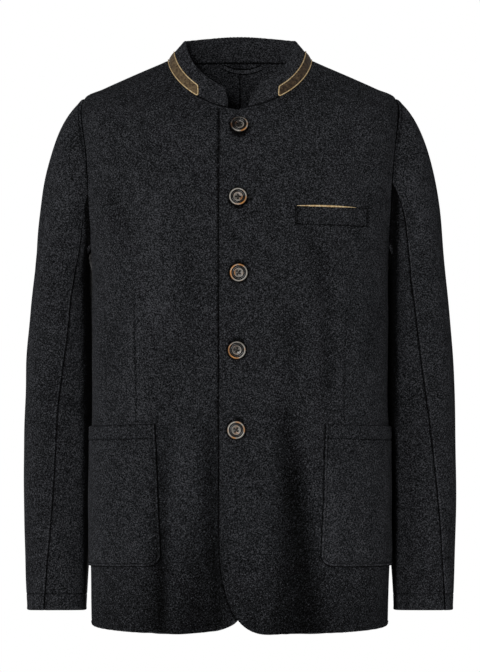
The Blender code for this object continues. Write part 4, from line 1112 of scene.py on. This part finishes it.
for side, sign in (("left", 1.0), ("right", -1.0)):
    u = crowded(POCKET_WIDTH, NEAR_EDGE, 4.6)[None]
    band = [(1 - (HEM_BAND + 3) / POCKET_TALL, 1 - (HEM_BAND - 3) / POCKET_TALL, 0.8)]
    v = crowded(POCKET_TALL, NEAR_EDGE, 4.6, extra=band)[:, None]
    top, bottom = angle_at(np.array(POCKET_FRONT_X), np.array([POCKET_TOP_Z, POCKET_BOTTOM_Z]) - HEM_Z)
    front = bottom + (top - bottom) * v
    angle = sign * (front + (POCKET_REAR_ANGLE - front) * u)
    z = POCKET_BOTTOM_Z + POCKET_TALL * v - POCKET_DROP * u
    short = np.clip(1 - np.minimum(u, 1 - u) * POCKET_WIDTH / POCKET_CORNER, 0, 1)
    z = z + (1 - v) ** 2 * POCKET_CORNER * (1 - np.sqrt(1 - short**2 * 0.96))
    base, normal = on_body(angle, z - HEM_Z)
    puff = POCKET_PUFF * np.sin(np.pi * u) ** 0.6 * np.sin(np.pi * np.clip(v * 0.62 + 0.03, 0, 1))
    under = slow_relief(angle, base[..., 2], SEEDS[f"front_{side}"])
    to_sewn = distance_to(base, dense(np.concatenate([base[::-1, 0], base[0, 1:], base[1:, -1]])))
    to_top = steps_along(base, 0).max(0) - steps_along(base, 0)
    height = 0.35 + CLOTH + puff + stitched_edge(to_sewn, 0.55, 0.5) - 0.9 * rounding(to_top, 1.3)
    height = height - 0.55 * near(to_top - HEM_BAND, 0.9) + 0.3 * near(to_top - HEM_BAND + 6, 5)
    turned_in = 0.7 * ease((HEM_BAND - to_top) / 2) * ease(to_sewn / 8) * (puff > 0.9)
    below = np.maximum(0.35 + puff * 0.95, 0.2) - turned_in
    outer, inner = raised(base, normal, under + height), raised(base, normal, under + below)
    # Painted shade along the sewn edges, at the hem band's line, under the top edge and in the creases; a painted
    # highlight on the ridge inside the sewn edge, and painted shade in the stitch groove
    hollow = near(to_sewn, 0.9) + 0.5 * near(to_top - HEM_BAND, 0.9) + 0.6 * near(to_top, 0.6)
    hollow = hollow - 0.3 * near(to_sewn - 2.1, 0.9) + 0.35 * near(to_sewn - 3.8, 0.8)
    hollow = hollow + fold_shade(girth_at(angle), base[..., 2], BODY_CREASES)
    as_cloth(f"pocket_{side}", outer, inner, "laid", [f"front_{side}_cloth"], bulge=0.25, hollow=hollow)

# %% The chest welt and its calf edge
WELT_X, WELT_Z, WELT_TILT = (69.0, 162.0), (-218.5, -195.5), 1.5


def on_left_front(x, z):
    """Base points, normals and the height of the left front's cloth at x and z."""
    angle, up = front_place(x, z)
    base, normal = on_body(angle, up)
    return base, normal, slow_relief(angle, base[..., 2], SEEDS["front_left"])


x = WELT_X[0] + (WELT_X[1] - WELT_X[0]) * crowded(93.0, [0, 0.4, 0.9, 1.6, 2.6, 4], 3.0)[None]
share = crowded(23.0, [0, 0.4, 0.9, 1.6, 2.6], 1.4)[:, None]
z = WELT_Z[0] + (WELT_Z[1] - WELT_Z[0]) * share + WELT_TILT * (WELT_X[0] - x) / (WELT_X[1] - WELT_X[0])
base, normal, under = on_left_front(x, z)
under = under + lift_at(base[..., 0])
to_edge, across = distance_to(base, dense(rim_of(base))), steps_along(base, 1)
from_stitch = np.minimum(across, across.max() - across) - 2.6
height = 2.3 - 1.2 * rounding(to_edge, 1.4) - 0.5 * near(from_stitch, 0.8)
outer, inner = raised(base, normal, under + height), raised(base, normal, under + 0.25)
# Painted shade round the edges and along the stitch lines at both ends
hollow = near(to_edge, 0.8) + 0.6 * near(from_stitch, 0.8)
as_cloth("chest_welt", outer, inner, "laid", ["front_left_cloth"], bulge=0.2, hollow=hollow)

x = np.linspace(WELT_X[0] + 2.5, WELT_X[0] + 78.0, 90)
base, normal, under = on_left_front(x, WELT_Z[1] + WELT_TILT * (WELT_X[0] - x) / (WELT_X[1] - WELT_X[0]))
gape = np.sin(np.linspace(0.06, 0.97, 90) * np.pi)[:, None] ** 0.8
line = raised(base, normal, under + lift_at(x) + 1.2) + np.array([0, 0, 0.7]) * gape
form = cord_form(line, normal, 1.35 * gape[:, 0], sides=12, flatten=0.7)
finish_piece(put_mesh("chest_welt_calf", *form, calf), "piping", "chest_welt_piping")

# %% [markdown]
# ## The hanger loop
# A narrow folded strip whose ends are caught in the neck seam. It hangs in a bow, so its line is a parabola on
# the wall behind it.

# %% The loop
LOOP_MIDDLE, LOOP_HALF_SPAN, LOOP_WIDTH, LOOP_SAG, LOOP_CLOTH = 4.0, 25.0, 7.0, 8.5, 1.5
along = np.linspace(-1, 1, 61)
bow = 1 - along**2
neck = body(180.0, UP_NECK)
across = np.array([-0.5, -0.46, -0.38, -0.25, 0, 0.25, 0.38, 0.46, 0.5])[:, None]
z = neck[2] - 1.5 - LOOP_WIDTH / 2 - (LOOP_SAG - LOOP_WIDTH / 2) * bow[None] + across * LOOP_WIDTH
angle = 180 - np.degrees(np.arctan2(LOOP_MIDDLE + LOOP_HALF_SPAN * along, neck[1] - SIDE_Y)) + 0 * z
up = np.full(z.shape, UP_NECK - 10.0)
for _ in range(12):
    up = up + (z - body(angle, up)[..., 2])
wall, normal = on_body(angle, up)
round_off = 0.45 * np.clip(np.abs(across) * 2, 0, 1) ** 6
facing = raised(wall, -normal, CLOTH + 0.4 + 1.8 * bow)
outer, inner = raised(facing, -normal, LOOP_CLOTH - round_off), raised(facing, -normal, round_off)
# Painted shade along both long edges, and a little painted light along the middle
hollow = 1.4 * ease((np.abs(across) - 0.3) / 0.12) - 0.3
as_cloth("hanger_loop", outer, inner, "hung", ["collar_cloth"], bulge=0.3, hollow=hollow)

# %% [markdown]
# ## Horn buttons
# Each was sawn from horn and turned: a raised rim, a groove, a dished middle, and four drilled holes. The form
# is a profile turned round an axis on a polar grid, and the holes are wells in the height of that grid. Grey
# thread crosses the middle. The buttonhole runs across behind each, and its outer end shows beside the button.

# %% Button form
HOLE_REACH, HOLE_RADIUS = 2.35, 1.3
BUTTON_TURNS, BUTTON_LIFT = (20.0, 42.0, 5.0, 30.0, 12.0), 0.75
BUTTON_PAINTED_SIDE_SHADES = (0.4, 0.0, 0.0, 0.12, 0.0)  # painted shade on one side of some buttons, in place of a tilt that turns that side from the light
# The turned profile: radius, and height over the back.
PROFILE = np.array(
    [
        (0, 1.5, 3.6, 4.6, 5.3, 5.9, 6.3, 6.7, 7.6, 8.4, 8.9, 9.5, 10.2, 10.8, 11.4, 11.7, 11.3, 10.2, 8.5, 0),
        (2.3, 2.3, 2.35, 2.6, 3.05, 3.1, 2.7, 1.9, 1.5, 1.9, 3.1, 3.8, 3.9, 3.5, 2.6, 1.8, 0.9, 0.3, 0, 0),
    ]
).T
# Painted light and shade at each radius: a painted highlight on the polished rims, painted shade in the groove
# and on the outer wall.
PAINTED_LIGHT_AND_SHADE_BY_RADIUS = (0, 4.4, 5.0, 5.8, 6.3, 8.8, 9.4, 10.9, 11.3, 12), (0.3, 0.4, 0.25, 0.3, 1.0, 1.0, 0.2, 0.15, 1.0, 1.1)


def button_points():
    """Rings of the turned profile, evenly walked along a smooth line through it, with wells for the holes, and
    the shade painted on each point: painted shade under the button and in the holes, and by radius elsewhere."""
    far = walked(PROFILE)
    at = np.concatenate([np.arange(0, 5.0, 0.16), np.linspace(5.0, far[-2], 56), [far[-1]]])
    radius, height = smooth_table(at, far, PROFILE).T[..., None]
    radius = np.maximum(radius, 0.0)
    sine, cosine = sin_cos(np.arange(72) * 5.0)
    x, y, z = radius * cosine, radius * sine, height + 0 * cosine
    # Painted shade under the button; elsewhere painted light and shade by radius
    dark = np.where(height < 1.4, 1.0, np.interp(radius, *PAINTED_LIGHT_AND_SHADE_BY_RADIUS)) + 0 * z
    for corner in (45, 135, 225, 315):
        sine, cosine = sin_cos(corner)
        off = np.hypot(x - HOLE_REACH * cosine, y - HOLE_REACH * sine)
        well = np.where(height > 1.0, ease((HOLE_RADIUS + 0.12 - off) / 0.24), 0.0)
        # Painted shade in each hole
        z, dark = z - 1.9 * well, dark + well
    return np.stack([x, y, z], axis=-1), dark


def place_on_front(local, number, degrees):
    """Points with z along the cloth's normal, turned and laid at a button's place."""
    base, normal, under = on_left_front(BUTTON_XS[number], BUTTON_HEIGHTS[number])
    across = unit(np.cross((0.0, 0.0, 1.0), normal))
    sine, cosine = sin_cos(degrees)
    x, y, z = np.moveaxis(local, -1, 0)[..., None]
    turned = (x * cosine - y * sine) * across + (x * sine + y * cosine) * np.cross(normal, across)
    return raised(base, normal, LAYER_LIFT + under) + turned + z * normal, normal


button, button_painted_light_and_shade = button_points()
index = np.arange(button_painted_light_and_shade.size).reshape(button_painted_light_and_shade.shape)
button_quads = cells(index, np.roll(index, -1, axis=1))[:, [0, 3, 2, 1]]

for number in range(5):
    points, normal = place_on_front(button + (0, 0, BUTTON_LIFT), number, BUTTON_TURNS[number])
    across = points[..., 2] - points[..., 0]
    # Painted shade on one side of some buttons
    dark = button_painted_light_and_shade + BUTTON_PAINTED_SIDE_SHADES[number] * ease((across - across[0, 0] + 8) / 16)
    piece = put_mesh(f"horn_button_{number + 1}", points.reshape(-1, 3), button_quads, horn, None, dark.ravel())
    shaped = bmesh.new()  # closes both poles, where many points share a place
    shaped.from_mesh(piece.data)
    bmesh.ops.remove_doubles(shaped, verts=shaped.verts, dist=1e-6)
    bmesh.ops.recalc_face_normals(shaped, faces=shaped.faces)
    shaped.to_mesh(piece.data)
    shaped.free()
    finish_piece(piece, "horn", f"button_{number + 1}")
print("buttons: 5, of %d faces each" % len(button_quads))

# %% Thread crosses
def cords_on_buttons(name, material, paths, radius, **form):
    """One piece of many cords, each given as a button's number, a turn and a line of local points."""
    forms = []
    for number, degrees, local in paths:
        line, normal = place_on_front(local, number, degrees)
        forms.append(cord_form(line, np.broadcast_to(normal, line.shape), radius, **form))
    finish_piece(put_mesh(name, *joined(forms), material), "milled_wool")
    print("%s: %d" % (name, len(forms)))


strand = np.linspace(-1, 1, 15)
paths = []
for number in range(5):
    for diagonal, over in ((45.0, 0.0), (135.0, 0.35)):
        for offset in (-0.34, 0.34):
            arch = 3.0 + (0.6 + over) * (1 - strand**4) - 1.3 * (np.abs(strand) > 0.86)
            local = np.stack([strand * (HOLE_REACH + 0.35), np.full(15, offset), arch], axis=-1)
            paths.append((number, BUTTON_TURNS[number] + diagonal, local))
cords_on_buttons("button_threads", button_thread, paths, 0.22, sides=6)

# %% [markdown]
# ## Buttonholes
# A worked buttonhole is a slit whose edges are bound with close stitches. It lies across the front, and only
# its outer end shows beside the button. The binding is a cord round the slit whose radius swells and shrinks
# with every stitch, so its two sides nearly touch and leave the slit dark between them.

# %% Worked buttonholes
BUTTONHOLE = (-11.0, 18.5)  # from the button's middle, in mm
sine, cosine = sin_cos(np.arange(260) * 360 / 260)
middle, reach = sum(BUTTONHOLE) / 2, (BUTTONHOLE[1] - BUTTONHOLE[0]) / 2
x = middle + reach * np.sign(cosine) * np.abs(cosine) ** 0.6
local = np.stack([x, 0.75 * np.sign(sine) * np.abs(sine) ** 0.4, np.full(260, 0.15)], axis=-1)
swell = 0.62 + 0.12 * sin_cos(np.arange(260) * 360 / 260 * 65)[0]
cords_on_buttons("buttonholes", thread, [(n, 0.0, local) for n in range(5)], swell, closed=True, sides=8)

# %% [markdown]
# ## Topstitching
# The fronts are stitched all along their edges, round the corners and along the hem. The pockets are stitched on
# three sides, with a hem line below the top, and the cuffs carry their hem stitch.

# %% Lines of stitches
def beside(edge, grid):
    """The edge moved inwards on the cloth as far as the topstitching, and laid on it."""
    edge = dense(edge, 2.5)
    aside = unit(np.cross(laid_on(edge, grid)[1], np.gradient(edge, axis=0)))
    if ((grid.reshape(-1, 3).mean(axis=0) - edge) * aside).sum() < 0:
        aside = -aside
    return laid_on(edge + aside * TOPSTITCH, grid)


def stitched_row(grid, tall, ends=0):
    """Points and normals along the row that lies this far from a grid's first, less some points at both ends."""
    row = grid[np.argmin(np.abs(steps_along(grid, 0)[:, 20] - tall))]
    return laid_on(dense(row[ends : len(row) - ends], 2.5), grid)


on_fronts, on_pockets, on_cuffs = [], [], []
for side in ("left", "right"):
    grid = grids[f"front_{side}"]
    on_fronts.append(beside(np.concatenate([grid[0, ::-1], grid[1 : edge_rows - 2, 0]]), grid))
    grid = grids[f"pocket_{side}"]
    on_pockets.append(beside(np.concatenate([grid[::-1, 0], grid[0, 1:], grid[1:, -1]]), grid))
    on_pockets.append(stitched_row(grid, steps_along(grid, 0)[-1, 0] - HEM_BAND, ends=1))
    for half in ("upper", "under"):
        grid = grids[f"sleeve_{half}_{side}"]
        on_cuffs.append(stitched_row(grid, steps_along(grid, 0)[-1, 20] - HEM_TURN))
stitch_line("front_topstitching", on_fronts)
stitch_line("pocket_topstitching", on_pockets)
stitch_line("cuff_stitching", on_cuffs, radius=0.26)

# %% [markdown]
# ## Floor, light and camera
# The jacket hangs free over a pale floor, far enough below to stay out of the view. A large soft box stands
# beside the camera, with weaker ones on the left and the right and one for the back. The surround looks white
# and lights the hollows a little. The camera stands level with the waist and far away, as for a catalogue,
# which keeps the sleeves' perspective small.

# %% Floor and light
FLOOR_RADIUS, FLOOR_Z = 1350.0, -980.0
LIGHTS = {  # place and aim, size in metres, and watts
    "front_light": ((-0.8, -4.5, 0.2), (0, 0, -0.3), 0.8, 82.0),
    "key_light": ((-2.2, -2.9, 0.3), (0, 0, -0.3), 0.9, 33.0),
    "fill_light": ((2.6, -2.5, -0.1), (0, 0, -0.35), 1.2, 16.0),
    "back_light": ((0.5, 4.3, 0.3), (0, 0, -0.35), 0.9, 70.0),
}
WHITE, SURROUND = (1.0, 1.0, 1.0, 1.0), 0.11

sine, cosine = sin_cos(np.arange(96) * 360 / 96)
ring = np.stack([cosine * FLOOR_RADIUS, sine * FLOOR_RADIUS, np.full(96, FLOOR_Z)], axis=-1)
index = np.arange(192).reshape(2, 96)
quads = np.concatenate([cells(index, np.roll(index, -1, axis=1)), strips(96) + 96])
pale = new_material("painted_floor", Roughness=0.6, Base_Color=linear("#e9e8e6"))
floor = put_mesh("floor", np.concatenate([ring, ring * (0.5, 0.5, 1)]), quads, pale)

for name, (place, aim, size, watts) in LIGHTS.items():
    light = bpy.data.lights.new(name, "AREA")
    light.shape, light.size, light.energy = "SQUARE", size, watts
    lamp = bpy.data.objects.new(name, light)
    lamp.location = place
    lamp.rotation_euler = (Vector(aim) - Vector(place)).to_track_quat("-Z", "Y").to_euler()
    lamp.visible_camera = False  # the one behind would show in the front view
    bpy.context.scene.collection.objects.link(lamp)

world = bpy.data.worlds.new("white_surround")
bpy.context.scene.world = world
world.use_nodes = True
lit = world.node_tree.nodes["Background"]
lit.inputs["Color"].default_value, lit.inputs["Strength"].default_value = WHITE, SURROUND
seen = add(world, "Background", {"Color": WHITE})
by_camera = add(world, "LightPath", out="Is Camera Ray")
both = add(world, "MixShader", Fac=by_camera, i1=lit.outputs[0], i2=seen)
world.node_tree.links.new(both, world.node_tree.nodes["World Output"].inputs["Surface"])
bpy.context.scene.view_settings.view_transform = "Standard"
bpy.context.scene.view_settings.look = "None"
print("lights:", ", ".join(LIGHTS))

# %% Camera
lens = bpy.data.cameras.new("camera")
lens.lens, lens.sensor_width, lens.sensor_fit, lens.clip_end = 164.8, 36.0, "AUTO", 50.0
camera = bpy.data.objects.new("camera", lens)
camera.location, camera.rotation_euler = (0.0, -4.0, -0.359), (np.radians(90), 0.0, 0.0)
bpy.context.scene.collection.objects.link(camera)
bpy.context.scene.camera = camera
print("camera: %.1f mm lens, %.0f m in front" % (lens.lens, -camera.location[1]))
